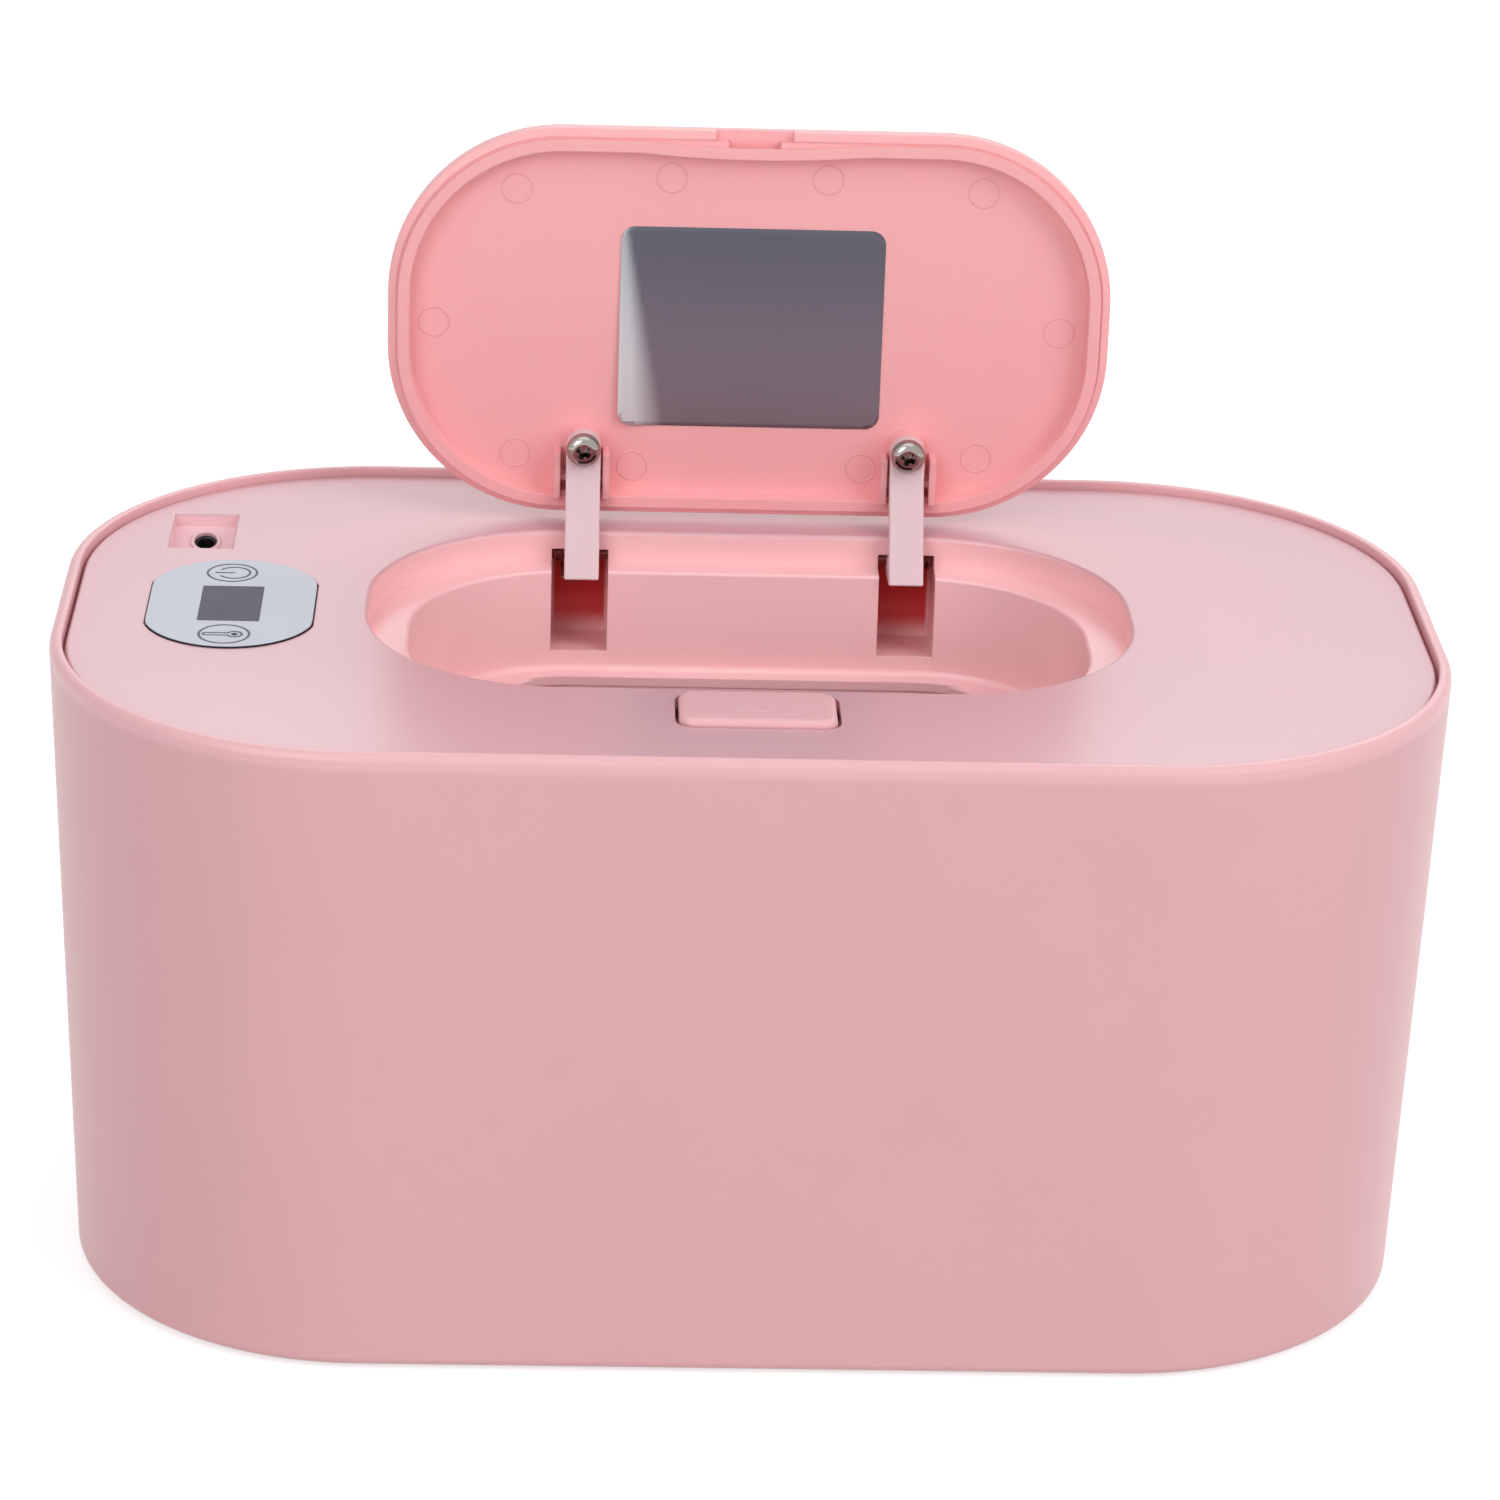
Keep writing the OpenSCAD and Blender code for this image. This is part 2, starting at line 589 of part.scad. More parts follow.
module inner_cover() color(pale_pink) on_deck() difference() {
    union() {
        swept(cover_hx, cover_hy, cover_r) polygon(concat(
            [[-8, -cover_low]], arc(-1.2, 1.2 - cover_low, 1.2, -90, 0),
            [[0, -deck_t - close_fit], [-skirt_t, -deck_t - close_fit], [-skirt_t, -cover_top], [-8, -cover_top]]));
        plate(cover_hx - 7, cover_hy - 7, cover_r - 7, cover_top, cover_t);
    }
    mouth_hole(collar_t + slide_fit, cover_top, cover_t);
    cover_holes(shank_d / 2 + 0.2, cover_top, cover_t);
    translate([heater_hole.x, heater_hole.y, -cover_low - 1])
        linear_extrude(cover_t + 2) rounded((lead_gap + lead_d) / 2 + 0.4, lead_d / 2 + 0.4, lead_d / 2 + 0.3);
    side_cut(-jack_x, jack_w + 2 * (jack_wall + slide_fit),
        [[jack_front, -1], [jack_front, -jack_foot - jack_lean - slide_fit],
         [jack_back + 5, -jack_z - jack_lean - slide_fit + 5 * tan(jack_slope)], [jack_back + 5, -1]]);
    translate([-jack_x, jack_at, jack_floor]) rotate([jack_slope, 0, 0]) translate([0, 0, -jack_end - 5])
        cylinder(h = jack_end + 4, d = jack_body_d + 2 * slide_fit);
}

module heat_outline(top, t, grow) difference() {
    plate(cover_hx - heat_in, cover_hy - heat_in, cover_r - heat_in, top, t);
    mouth_hole(collar_t + grow, top, t);
    cover_holes(4, top, t);
}

module heater_film() color([0.72, 0.45, 0.15]) on_deck() heat_outline(cover_low, film_t, 4);
module heat_plate() color([0.80, 0.81, 0.82]) on_deck() heat_outline(film_low, heat_t, 1);

sensor_x = funnel_hx + 13;

module insulation_pad() color([0.93, 0.92, 0.88]) on_deck() difference() {
    plate(cover_hx - skirt_t - 1, cover_hy - skirt_t - 1, cover_r - skirt_t - 1, cover_top - foam_t, foam_t);
    translate([0, well_y, 0])
        plate(funnel_hx + deck_t + 1, funnel_hy + deck_t + 1, funnel_r + deck_t + 1,
              cover_top - foam_t - 1, foam_t + 2);
    cover_holes(boss_r + slide_fit, cover_top - foam_t, foam_t);
    for (s = [-1, 1]) side_cut(s * slot_x, slot_w + 2 * pocket_wall + 2,
        [[hinge_y - 12, -cover_top - 1], [hinge_y + pocket_back + pocket_wall + 1, -cover_top - 1],
         [hinge_y + pocket_back + pocket_wall + 1, 0], [hinge_y - 12, 0]]);
    translate([-sensor_x - 5, -20, -cover_top - 1]) cube([12, 38, foam_t + 2]);
    translate([heater_hole.x - lead_gap / 2 - lead_d, heater_hole.y - 1.5, -cover_top - 1])
        cube([lead_gap + 2 * lead_d, 7, foam_t + 2]);
}

module temperature_sensor() color([0.15, 0.15, 0.16]) on_deck() translate([-sensor_x, 10, -cover_top]) {
    translate([-2.5, -2, 0]) cube([5, 4, 1.2]);
    translate([0, 0, 1.2]) intersection() {
        sphere(d = 3.2);
        translate([-2, -2, -0.3]) cube([4, 4, 3]);
    }
}

module thermal_fuse() color(steel) on_deck() translate([-sensor_x, -14, 2 - cover_top]) rotate([-90, 0, 0])
    rotate_extrude() polygon([[0, 0], [0.5, 0], [0.5, 2], [1.6, 2.4], [2, 3.2], [2, 10], [1.2, 11], [0.5, 11.4],
                              [0.5, 13.4], [0, 13.4]]);

module cover_screws() color(steel) on_deck() for (p = cover_screw_at) translate([p.x, p.y, -cover_low])
    pan_screw(shank_d, 5.4, 1.6, cover_t + 9);

// ---- electronics ----

// the middle of the rear face of the two plug housings under the board, from the panel's middle
plug_h = 3.4;
plug_in = [panel_x - jack_x, board_l / 2 - 2];
plug_out = [board_w / 2 - 4, 9];

module control_board() color([0.10, 0.35, 0.20]) at_panel() {
    difference() {
        translate([-board_w / 2, -board_l / 2, -board_low]) cube([board_w, board_l, board_t]);
        for (p = board_screw_at) translate([p.x, p.y, -board_low - 1]) cylinder(h = board_t + 2, d = 2);
    }
    translate([-4, -5, -board_low - 1.4]) cube([7, 7, 1.4]);
    translate([plug_out.x - 3, plug_out.y - 5, -board_low - plug_h]) cube([6, 5, plug_h]);
    translate([plug_in.x - 3, plug_in.y - 5, -board_low - plug_h]) cube([6, 5, plug_h]);
}

module board_screws() color(steel) at_panel() for (p = board_screw_at) translate([p.x, p.y, -board_low])
    pan_screw(1.6, 3.2, 1.1, board_t + 2.4);

module display_module() color([0.28, 0.29, 0.31]) at_panel() {
    translate([-6.5, -9.5, -board_top]) cube([13, 19, board_top - deck_t - close_fit]);
    translate([-window_w / 2, -window_l / 2, -deck_t - 1])
        cube([window_w, window_l, deck_t + 1 - panel_sink - close_fit]);
}

key_wire = 0.4;
key_turns = 4;
module touch_springs() color([0.83, 0.68, 0.35]) at_panel() for (s = [-1, 1])
    translate([0, s * key_y, -board_top + key_wire / 2 + 0.05])
        tube(helix(1.9, (board_top - panel_sink - key_wire - 0.2) / key_turns, key_turns, 16),
             key_wire / 2, 6, [1, 0, 0]);

// The panel's own window and symbols are printed, so the plate is plain.
module control_panel() color([0.82, 0.84, 0.88]) at_panel() {
    translate([0, 0, -panel_sink]) linear_extrude(panel_sink + panel_proud - 0.3) panel_outline(0);
    translate([0, 0, -panel_sink]) linear_extrude(panel_sink + panel_proud) panel_outline(-0.3);
}

jack_end = jack_wall + close_fit + jack_body_l;
module power_jack() color([0.08, 0.08, 0.09]) at_jack() difference() {
    translate([0, 0, -jack_end]) cylinder(h = jack_body_l, d = jack_body_d);
    translate([0, 0, 1 - jack_end]) cylinder(h = jack_end, d = jack_bore);
}

module jack_pin() color([0.85, 0.72, 0.40]) at_jack() translate([0, 0, 1 - jack_end]) {
    cylinder(h = 3.6, d = 1);
    translate([0, 0, 3.6]) sphere(d = 1);
}

// Points of the inner leads in X, Y and Z: each end meets the piece that it feeds.
lead_d = 1.3;
lead_gap = 2.2;
jack_down = [0, sin(jack_slope), -cos(jack_slope)];
jack_tail = [-jack_x, jack_at, jack_floor] + jack_end * jack_down;
plug_in_at = [plug_in.x - panel_x, plug_in.y + panel_y, -board_low - plug_h / 2];
supply_path = [jack_tail, jack_tail + 1.2 * jack_down, jack_tail + [0, 0.2, -2.8], jack_tail + [0, -1.4, -4.4],
    jack_tail + [0, -4.5, -5], plug_in_at + [0, 6.5, -6.4], plug_in_at + [0, 3.6, -3.8],
    plug_in_at + [0, 1.8, -1.2], plug_in_at + [0, 0.8, 0], plug_in_at];
module supply_leads() color([0.62, 0.10, 0.10]) on_deck() for (s = [-1, 1])
    translate([s * lead_gap / 2, 0, 0]) tube(supply_path, lead_d / 2, 8, [1, 0, 0]);

plug_out_at = [plug_out.x - panel_x, plug_out.y + panel_y, -board_low - plug_h / 2];
heater_hole = [plug_out_at.x + 2, 2, -cover_top];
heater_path = [plug_out_at, plug_out_at + [0, 1, 0], plug_out_at + [0, 2.4, -0.8], plug_out_at + [0.2, 3, -2.4],
    plug_out_at + [0.7, 2, -5], heater_hole + [-0.4, 3, 5], heater_hole + [0, 0.8, 2.6],
    heater_hole + [0, 0, 1], heater_hole + [0, 0, -cover_t]];
module heater_leads() color([0.85, 0.85, 0.82]) on_deck() for (s = [-1, 1])
    translate([s * lead_gap / 2, 0, 0]) tube(heater_path, lead_d / 2, 8, [1, 0, 0]);

// ---- button and latch ----

module at_button() on_deck() translate([0, button_y, 0]) children();

// The cap is a hollow shell. Two legs with 45 degree toes push the latch forwards, and two
// side lips under the deck keep the cap in.
module push_button() color(pink) at_button() {
    difference() {
        union() {
            swept(button_w / 2, button_d / 2, 2.2) polygon(concat(
                [[-2, button_proud - button_top]],
                [[-button_wall, button_proud - button_top], [-button_wall, -button_foot], [0, -button_foot]],
                arc(-1, button_proud - 1, 1, 0, 90), [[-2, button_proud]]));
            translate([0, 0, button_proud]) plate(button_w / 2 - 1.9, button_d / 2 - 1.9, 0.3, 0, button_top);
            for (s = [-1, 1]) translate([s * (button_w / 2 + 0.4) - 0.9, -2.5, -deck_t - slide_fit - 1.2])
                cube([1.8, 5, 1.2]);
        }
        translate([-nose_w / 2 - 0.8, 0, -button_foot - 1])
            cube([nose_w + 1.6, button_d, button_foot + button_proud - button_top + 1]);
    }
    for (s = [-1, 1]) side_cut(s * (wedge_x + wedge_w / 2), wedge_w,
        [[1.5, button_proud - button_top + close_fit], [-2, button_proud - button_top + close_fit],
         [-2, -slide_top + 1.7], [0.5, -slide_top - 0.8], [1.5, -slide_top - 0.8]]);
}

// A flat slide with a post whose nose reaches through the recess's front wall.
module latch_slider() color(pink) at_button() {
    difference() {
        translate([-slide_hx, -slide_front, -slide_top - slide_t])
            cube([2 * slide_hx, slide_front + slide_back, slide_t]);
        for (s = [-1, 1])
            translate([s * (wedge_x + wedge_w / 2) - wedge_w / 2 - slide_fit, -2.4, -slide_top - slide_t - 1])
            cube([wedge_w + 2 * slide_fit, 2.4 + 1.5 + travel + slide_fit, slide_t + 2]);
    }
    for (s = [-1, 1]) side_cut(s * (wedge_x + wedge_w / 2), wedge_w + 2 * slide_fit,
        [[-5, -slide_top - close_fit], [-5, -slide_top + 1.2], [-1.7, -slide_top + 1.2], [-0.5, -slide_top],
         [-0.5, -slide_top - 0.8], [-2.5, -slide_top - 0.8]]);
    nose_tip = pocket_hy + deck_t + lid_gap_y - lid_front + catch_y + nose_bite;
    side_cut(0, nose_w, [[slide_back - 1.4, -slide_top - close_fit], [slide_back - 1.4, -lip_z + nose_h],
        [nose_tip - 0.9, -lip_z + nose_h], [nose_tip, -lip_z + 0.2], [nose_tip, -lip_z],
        [pocket_hy - 0.5, -lip_z], [pocket_hy - 0.5, -slide_top - close_fit]]);
}

latch_wire = 0.5;
latch_turns = 5;
module latch_spring() color(steel) at_button()
    translate([0, -slide_front - spring_l + latch_wire / 2 + close_fit, -slide_top - slide_t / 2]) rotate([-90, 0, 0])
        tube(helix(1.9, (spring_l - latch_wire - 2 * close_fit) / latch_turns, latch_turns, 16),
             latch_wire / 2, 6, [1, 0, 0]);

// ---- the lid, drawn closed in the recess and then swung open about the pins ----

module on_lid() translate([0, hinge_y, deck_z - axis_z]) rotate([-lid_open, 0, 0])
    translate([0, -lid_axis_y, axis_z - lid_t]) children();

guide_in = arm_w / 2 + 0.6;
guide_t = 1;
guide_end = lid_hy - 2.6;
web_t = 0.9;
eye_z = lid_t - axis_z - eye_drop;   // the screwed end's lower face, from the lid's lower face
catch_top = lid_t - lip_z + nose_h + 0.2;
catch_y = rib_front + rib_bow;       // where the nose meets the rib, from the lid's front edge
floor_z = lid_t - plate_t;

// The sealing rib: a ring whose front bows in, on an arc, to make room for the latch's nose.
module sealing_rib() {
    difference() {
        translate([0, rib_back, 0]) swept(rib_hx, rib_hy, rib_r)
            polygon([[-rib_w - 0.2, floor_z + 0.2], [-rib_w, 0], [0, 0], [0, floor_z + 0.2]]);
        translate([-bow_w / 2, rib_front - lid_hy - 0.5, -1]) cube([bow_w, rib_w + 1.2, floor_z + 1]);
    }
    bow_r = (pow(bow_w / 2, 2) + pow(rib_bow, 2)) / (2 * rib_bow);
    turn = asin(bow_w / 2 / bow_r);
    linear_extrude(floor_z + 0.2) translate([0, catch_y - lid_hy - bow_r]) polygon(concat(
        arc(0, 0, bow_r, 90 - turn, 90 + turn), arc(0, 0, bow_r + rib_w, 90 + turn, 90 - turn)));
}

// The lid is a shallow tray: z 0 is its sealing rib's lower face.
module lid_shell() color(pink) on_lid() difference() {
    union() {
        swept(lid_hx, lid_hy, lid_r) polygon(concat(
            [[-lid_core, floor_z], [-flange_in, floor_z], [-flange_in, 0.75], [-1.4, 0.75], [-1.2, 0.6]],
            arc(-0.35, 1.25, 0.35, -90, 0), arc(-lid_round, lid_t - lid_round, lid_round, 0, 90),
            [[-lid_core, lid_t]]));
        translate([0, 0, floor_z]) linear_extrude(plate_t)
            rounded(lid_hx - lid_core + 1, lid_hy - lid_core + 1, lid_r - lid_core + 1);
        sealing_rib();
        // screw bosses, and the ribs that stop the arms from turning, with webs between them
        for (s = [-1, 1]) {
            translate([s * arm_x, screw_y, eye_z + arm_t])
                cylinder(h = lid_t - plate_t / 2 - eye_z - arm_t, d = arm_w);
            for (g = [-1, 1])
                translate([s * slot_x + g * (guide_in + guide_t / 2) - guide_t / 2, screw_y + 1.3, eye_z + 1])
                cube([guide_t, guide_end - screw_y - 1.3, floor_z + 0.5 - eye_z - 1]);
            for (y = [guide_end - web_t, guide_end - 3.4])
                translate([s * slot_x - guide_in - 0.5, y, eye_z + arm_t + 0.5])
                cube([2 * guide_in + 1, web_t, floor_z - eye_z - arm_t]);
        }
    }
    // the way in for the latch's nose, and the slot behind it that the nose catches in
    translate([-nose_w / 2 - 2.15, -lid_hy - 1, -1]) cube([nose_w + 4.3, 2.5, 1 + catch_top]);
    translate([-nose_w / 2 - 0.25, -lid_hy - 1, -1]) cube([nose_w + 0.5, 1 + catch_y - 0.05, 1 + catch_top]);
    translate([-nose_w / 2 - 0.25, -lid_hy, lid_t - lip_z])
        cube([nose_w + 0.5, catch_y + nose_bite + 0.3, catch_top - lid_t + lip_z]);
    for (s = [-1, 1]) translate([s * arm_x, screw_y, eye_z]) cylinder(h = lid_t - eye_z - 0.8, d = shank_d);
}

module lid_label() color([0.66, 0.66, 0.70]) on_lid() translate([label_x, label_low, floor_z - 0.15])
    linear_extrude(0.15) rounded(label_w / 2, label_h / 2, 2.5);

// The gooseneck, closed, with Y and Z from the pin: the eye is under the lid and the far corner hangs
// below the pin, so that the open arm reaches out over the edge of the recess.
arm_tip = [0.7, -arm_drop];
bend = [-bend_out, -eye_drop];
strap = unit(arm_tip - bend);
strap_in = bend + arm_t * [-strap.y, strap.x];
limb_in = -1.3;
barrel_r = 2.3;

module hinge_arm(s) color([0.92, 0.80, 0.83]) on_lid()
    translate([s * arm_x, lid_axis_y, lid_t - axis_z]) difference() {
    union() {
        side_cut(0, arm_w, [[-screw_out, -eye_drop], bend, arm_tip, arm_tip + [0.45, 1.2], [barrel_r, 0],
            [limb_in, 0], strap_in + strap * (limb_in - strap_in.x) / strap.x,
            strap_in + strap * (arm_t - eye_drop - strap_in.y) / strap.y, [-screw_out, arm_t - eye_drop]]);
        rotate([0, 90, 0]) cylinder(h = arm_w, r = barrel_r, center = true);
        translate([0, -screw_out, -eye_drop]) cylinder(h = arm_t, d = arm_w);
    }
    rotate([0, 90, 0]) cylinder(h = arm_w + 2, r = pin_d / 2 + pin_play, center = true);
    translate([0, -screw_out, -eye_drop - 1]) cylinder(h = arm_t + 2, d = shank_d + 0.2);
}

module hinge_arm_left() hinge_arm(-1);
module hinge_arm_right() hinge_arm(1);

module arm_screws() color(steel) on_lid() for (s = [-1, 1]) translate([s * arm_x, screw_y, eye_z])
    pan_screw(shank_d, head_d, 1.7, lid_t - plate_t - eye_z);

module hinge_pins() color(steel) on_deck() for (s = [-1, 1])
    along_pin(s * slot_x, pin_d / 2, slot_w + 2 * pocket_wall);

// A torsion spring beside each arm: one leg on the pocket's back wall, the other hooked under the arm.
lid_wire = 0.45;
coil_r = pin_d / 2 + 0.6;
coil_room = slot_x + slot_w / 2 - arm_x - arm_w / 2;
module lid_springs() color(steel) on_deck() for (s = [0, 1]) mirror([s, 0, 0])
    translate([slot_x + slot_w / 2 - close_fit - lid_wire / 2, hinge_y, -axis_z])
        tube(concat([[0, pocket_back - 0.3, coil_r]],
            [for (i = [0:24]) let (t = 90 + 540 * i / 24)
                [-(coil_room - lid_wire - 2 * close_fit) * i / 24, coil_r * cos(t), coil_r * sin(t)]],
            [for (y = [-2, -4, -6]) [-(coil_room - lid_wire - 2 * close_fit), y, -coil_r - 0.05 * abs(y)],
             [-(coil_room + 0.4), -6.6, -coil_r - 0.4], [-(coil_room + 2), -6.8, -coil_r - 0.45]]),
            lid_wire / 2, 6, [1, 0, 0]);

body_shell();
rubber_feet();
top_deck();
inner_cover();
cover_screws();
heat_plate();
heater_film();
insulation_pad();
temperature_sensor();
thermal_fuse();
control_board();
board_screws();
display_module();
touch_springs();
control_panel();
power_jack();
jack_pin();
supply_leads();
heater_leads();
push_button();
latch_slider();
latch_spring();
lid_shell();
lid_label();
hinge_arm_left();
hinge_arm_right();
arm_screws();
hinge_pins();
lid_springs();
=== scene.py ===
import json
import math
import bmesh
import bpy
from mathutils import Matrix, Vector

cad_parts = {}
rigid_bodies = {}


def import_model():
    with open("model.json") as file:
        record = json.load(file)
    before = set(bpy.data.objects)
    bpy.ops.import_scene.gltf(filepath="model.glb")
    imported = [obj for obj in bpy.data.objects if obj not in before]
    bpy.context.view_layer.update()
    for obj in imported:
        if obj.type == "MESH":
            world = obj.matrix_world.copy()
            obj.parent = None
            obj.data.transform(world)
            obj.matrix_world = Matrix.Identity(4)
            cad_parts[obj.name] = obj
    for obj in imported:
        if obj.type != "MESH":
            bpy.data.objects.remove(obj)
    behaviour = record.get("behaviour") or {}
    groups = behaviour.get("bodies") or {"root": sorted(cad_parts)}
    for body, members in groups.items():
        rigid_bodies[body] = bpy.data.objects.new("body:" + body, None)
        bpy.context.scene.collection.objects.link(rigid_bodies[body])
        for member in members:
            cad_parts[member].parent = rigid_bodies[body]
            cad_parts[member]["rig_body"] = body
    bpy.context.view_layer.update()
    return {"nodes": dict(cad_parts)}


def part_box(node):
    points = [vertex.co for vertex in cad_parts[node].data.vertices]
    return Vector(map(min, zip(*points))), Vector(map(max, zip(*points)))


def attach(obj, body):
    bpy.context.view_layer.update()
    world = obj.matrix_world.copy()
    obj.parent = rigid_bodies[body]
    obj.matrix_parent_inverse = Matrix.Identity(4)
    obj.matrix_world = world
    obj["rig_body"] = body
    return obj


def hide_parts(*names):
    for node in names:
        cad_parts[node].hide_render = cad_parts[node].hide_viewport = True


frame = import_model()
nodes = frame["nodes"]
scene = bpy.context.scene
mm = 0.001
print("frame loaded:", len(nodes), "nodes")


# The camera stands at the photograph's own viewpoint.
cameraSettings = {
    "azimuth": -2.349, "elevation": 22.394, "roll": 1.915,   # degrees
    "distance": 761.51, "target": (0.639, 0.0, 72.973),      # mm
    "lens": 124.27, "sensor": 36,                            # mm
    "near": 0.05, "far": 20,                                 # clipping, m
}


def buildCamera(s):
    a, e, r = (math.radians(s[k]) for k in ("azimuth", "elevation", "roll"))
    back = Vector((math.sin(a) * math.cos(e), -math.cos(a) * math.cos(e), math.sin(e)))
    right = (-back).cross(Vector((0, 0, 1))).normalized()
    up = right.cross(-back)
    side = math.cos(r) * right + math.sin(r) * up
    top = -math.sin(r) * right + math.cos(r) * up
    data = bpy.data.cameras.new("camera")
    data.lens, data.sensor_width = s["lens"], s["sensor"]
    data.clip_start, data.clip_end = s["near"], s["far"]
    camera = bpy.data.objects.new("camera", data)
    turn = Matrix((side, top, back)).transposed().to_4x4()
    camera.matrix_world = Matrix.Translation((Vector(s["target"]) + s["distance"] * back) * mm) @ turn
    scene.collection.objects.link(camera)
    scene.camera = camera
    print("camera placed")


buildCamera(cameraSettings)


# An sRGB hex value as linear colour.
def colour(hexCode):
    values = [int(hexCode[i:i + 2], 16) / 255 for i in (1, 3, 5)]
    return tuple(v / 12.92 if v <= 0.04045 else ((v + 0.055) / 1.055) ** 2.4 for v in values) + (1.0,)


def shade(rgba, factor):
    return tuple(min(1, factor * c) for c in rgba[:3]) + (1,)


# Settings and links are named by socket, or numbered where sockets share a name.
def addNode(tree, kind, settings=None, links=None):
    node = tree.nodes.new(kind)
    for key, value in (settings or {}).items():
        if isinstance(key, int) or key in node.inputs.keys():
            node.inputs[key].default_value = value
        else:
            setattr(node, key, value)
    for key, sources in (links or {}).items():
        for source in sources if isinstance(sources, list) else [sources]:
            tree.links.new(source, node.inputs[key])
    return node


def findNode(tree, kind):
    return next(n for n in tree.nodes if n.type == kind)


def newMaterial(name, **shader):
    material = bpy.data.materials.new(name)
    material.use_nodes = True
    tree = material.node_tree
    tree.nodes.clear()
    surface = addNode(tree, "ShaderNodeBsdfPrincipled", shader)
    addNode(tree, "ShaderNodeOutputMaterial", links={"Surface": surface.outputs[0]})
    return material, tree, surface, addNode(tree, "ShaderNodeTexCoord").outputs["Object"]


# The scale of a pattern whose sizes along X, Y and Z are in mm.
def patternScale(sizes):
    return tuple(1 / (v * mm) for v in sizes)


# Joins a skin's patterns to its shader. relief is (pattern, strength, depth in mm) and rough is (pattern,
# lowest, highest). With edge, corners are shaded as if they had that radius in mm.
def dress(tree, surface, skin, relief, rough=None, edge=0.0):
    tree.links.new(skin, surface.inputs["Base Color"])
    pattern, strength, depth = relief
    lift = addNode(tree, "ShaderNodeBump", {"Strength": strength, "Distance": depth * mm}, {"Height": pattern})
    tree.links.new(lift.outputs[0], surface.inputs["Normal"])
    if edge:
        corner = addNode(tree, "ShaderNodeBevel", {"samples": 6, "Radius": edge * mm})
        tree.links.new(corner.outputs[0], lift.inputs["Normal"])
    if rough:
        pattern, lowest, highest = rough
        spread = addNode(tree, "ShaderNodeMapRange", {"To Min": lowest, "To Max": highest}, {"Value": pattern})
        tree.links.new(spread.outputs[0], surface.inputs["Roughness"])


# A mask of steps, each rising softly along a coordinate from 0 at its first size in mm to 1 at its second.
# Ready masks may follow.
def softMask(tree, steps, *masks):
    rising = [addNode(tree, "ShaderNodeMapRange", {"interpolation_type": "SMOOTHSTEP", "From Min": start * mm,
                      "From Max": end * mm}, {"Value": value}).outputs[0] for value, (start, end) in steps]
    mask, *others = rising + list(masks)
    for other in others:
        mask = addNode(tree, "ShaderNodeMath", {"operation": "MULTIPLY"}, {0: mask, 1: other}).outputs[0]
    return mask


plasticSettings = {
    "grainDepth": 0.02, "shine": 0.04,   # mm, and how far the clouds turn the roughness
    "glow": (1.0, 0.32, 0.3), "glowDepth": 1.5,   # red light goes furthest through thin pink, mm
}


# A plastic or rubber skin. In mm: cloud is the size of its faint colour clouding, grain that of its texture,
# and edge the radius that its moulded edges seem to have. The real grain is about 0.05 mm, too fine to show,
# so it is drawn coarser.
def plastic(name, hexCode, roughness, grain=0.35, bump=0.12, cloud=30, spread=0.035, scatter=0.0, ior=1.5,
            coat=0.0, edge=0.0):
    s, base = plasticSettings, colour(hexCode)
    material, tree, surface, place = newMaterial(name, **{"Base Color": base, "IOR": ior, "Coat Weight": coat})
    clouds = addNode(tree, "ShaderNodeTexNoise", {"Scale": 1 / (cloud * mm), "Detail": 3.0},
                     {"Vector": place}).outputs[0]
    skin = addNode(tree, "ShaderNodeMix", {"data_type": "RGBA", 6: shade(base, 1 - spread),
                   7: shade(base, 1 + spread / 2)}, {0: clouds})
    fine = addNode(tree, "ShaderNodeTexNoise", {"Scale": 1 / (grain * mm), "Detail": 2.0}, {"Vector": place})
    dress(tree, surface, skin.outputs[2], (fine.outputs[0], bump, s["grainDepth"]),
          (clouds, roughness - s["shine"], roughness + s["shine"]), edge)
    if scatter:
        surface.inputs["Subsurface Weight"].default_value = scatter
        surface.inputs["Subsurface Radius"].default_value = s["glow"]
        surface.inputs["Subsurface Scale"].default_value = s["glowDepth"] * mm
    return material


metalSettings = {
    "darkest": 0.86, "brightest": 1.06,   # shares of the metal's colour
    "smoother": 0.06, "rougher": 0.08, "markDepth": 0.01,   # how far the marks turn the roughness, and mm
}


# Bare or plated metal: streak gives the size in mm of its rolling or turning marks along X, Y and Z.
def metal(name, hexCode, roughness, streak, bump=0.1):
    s, base = metalSettings, colour(hexCode)
    material, tree, surface, place = newMaterial(name, **{"Base Color": base, "Metallic": 1.0})
    stretch = addNode(tree, "ShaderNodeMapping", {"Scale": patternScale(streak)}, {"Vector": place})
    marks = addNode(tree, "ShaderNodeTexNoise", {"Scale": 1.0, "Detail": 4.0},
                    {"Vector": stretch.outputs[0]}).outputs[0]
    skin = addNode(tree, "ShaderNodeMix", {"data_type": "RGBA", 6: shade(base, s["darkest"]),
                   7: shade(base, s["brightest"])}, {0: marks})
    dress(tree, surface, skin.outputs[2], (marks, bump, s["markDepth"]),
          (marks, roughness - s["smoother"], roughness + s["rougher"]))
    return material


# The ejector pins' rings on the lid's inner face: a pink near the lid's painted glow, drawn a shade deeper so
# that the rings show faintly.
ejectorRingPink = plastic("ejector ring pink ABS", "#F4ABAE", 0.25)
# Injection moulded ABS, satin: a soft broad highlight over a fine spark-eroded grain.
tubPlastic = plastic("pink ABS", "#E4AFB2", 0.34, edge=0.3)
# A painted glow: the thin rim and the button near the top are painted a lighter pink than the tub's wall, for
# the light that comes through them.
paintedRimGlow = {"axis": 2, "colour": "#EFB9BD", "between": (92.6, 93.8)}   # mm
# Thin moulded ABS with light behind it: some real scatter, and a colour painted a warmer, deeper pink as a
# painted glow.
lidPlastic = plastic("warm pink ABS", "#FCB7BA", 0.32, scatter=0.2, edge=0.35)
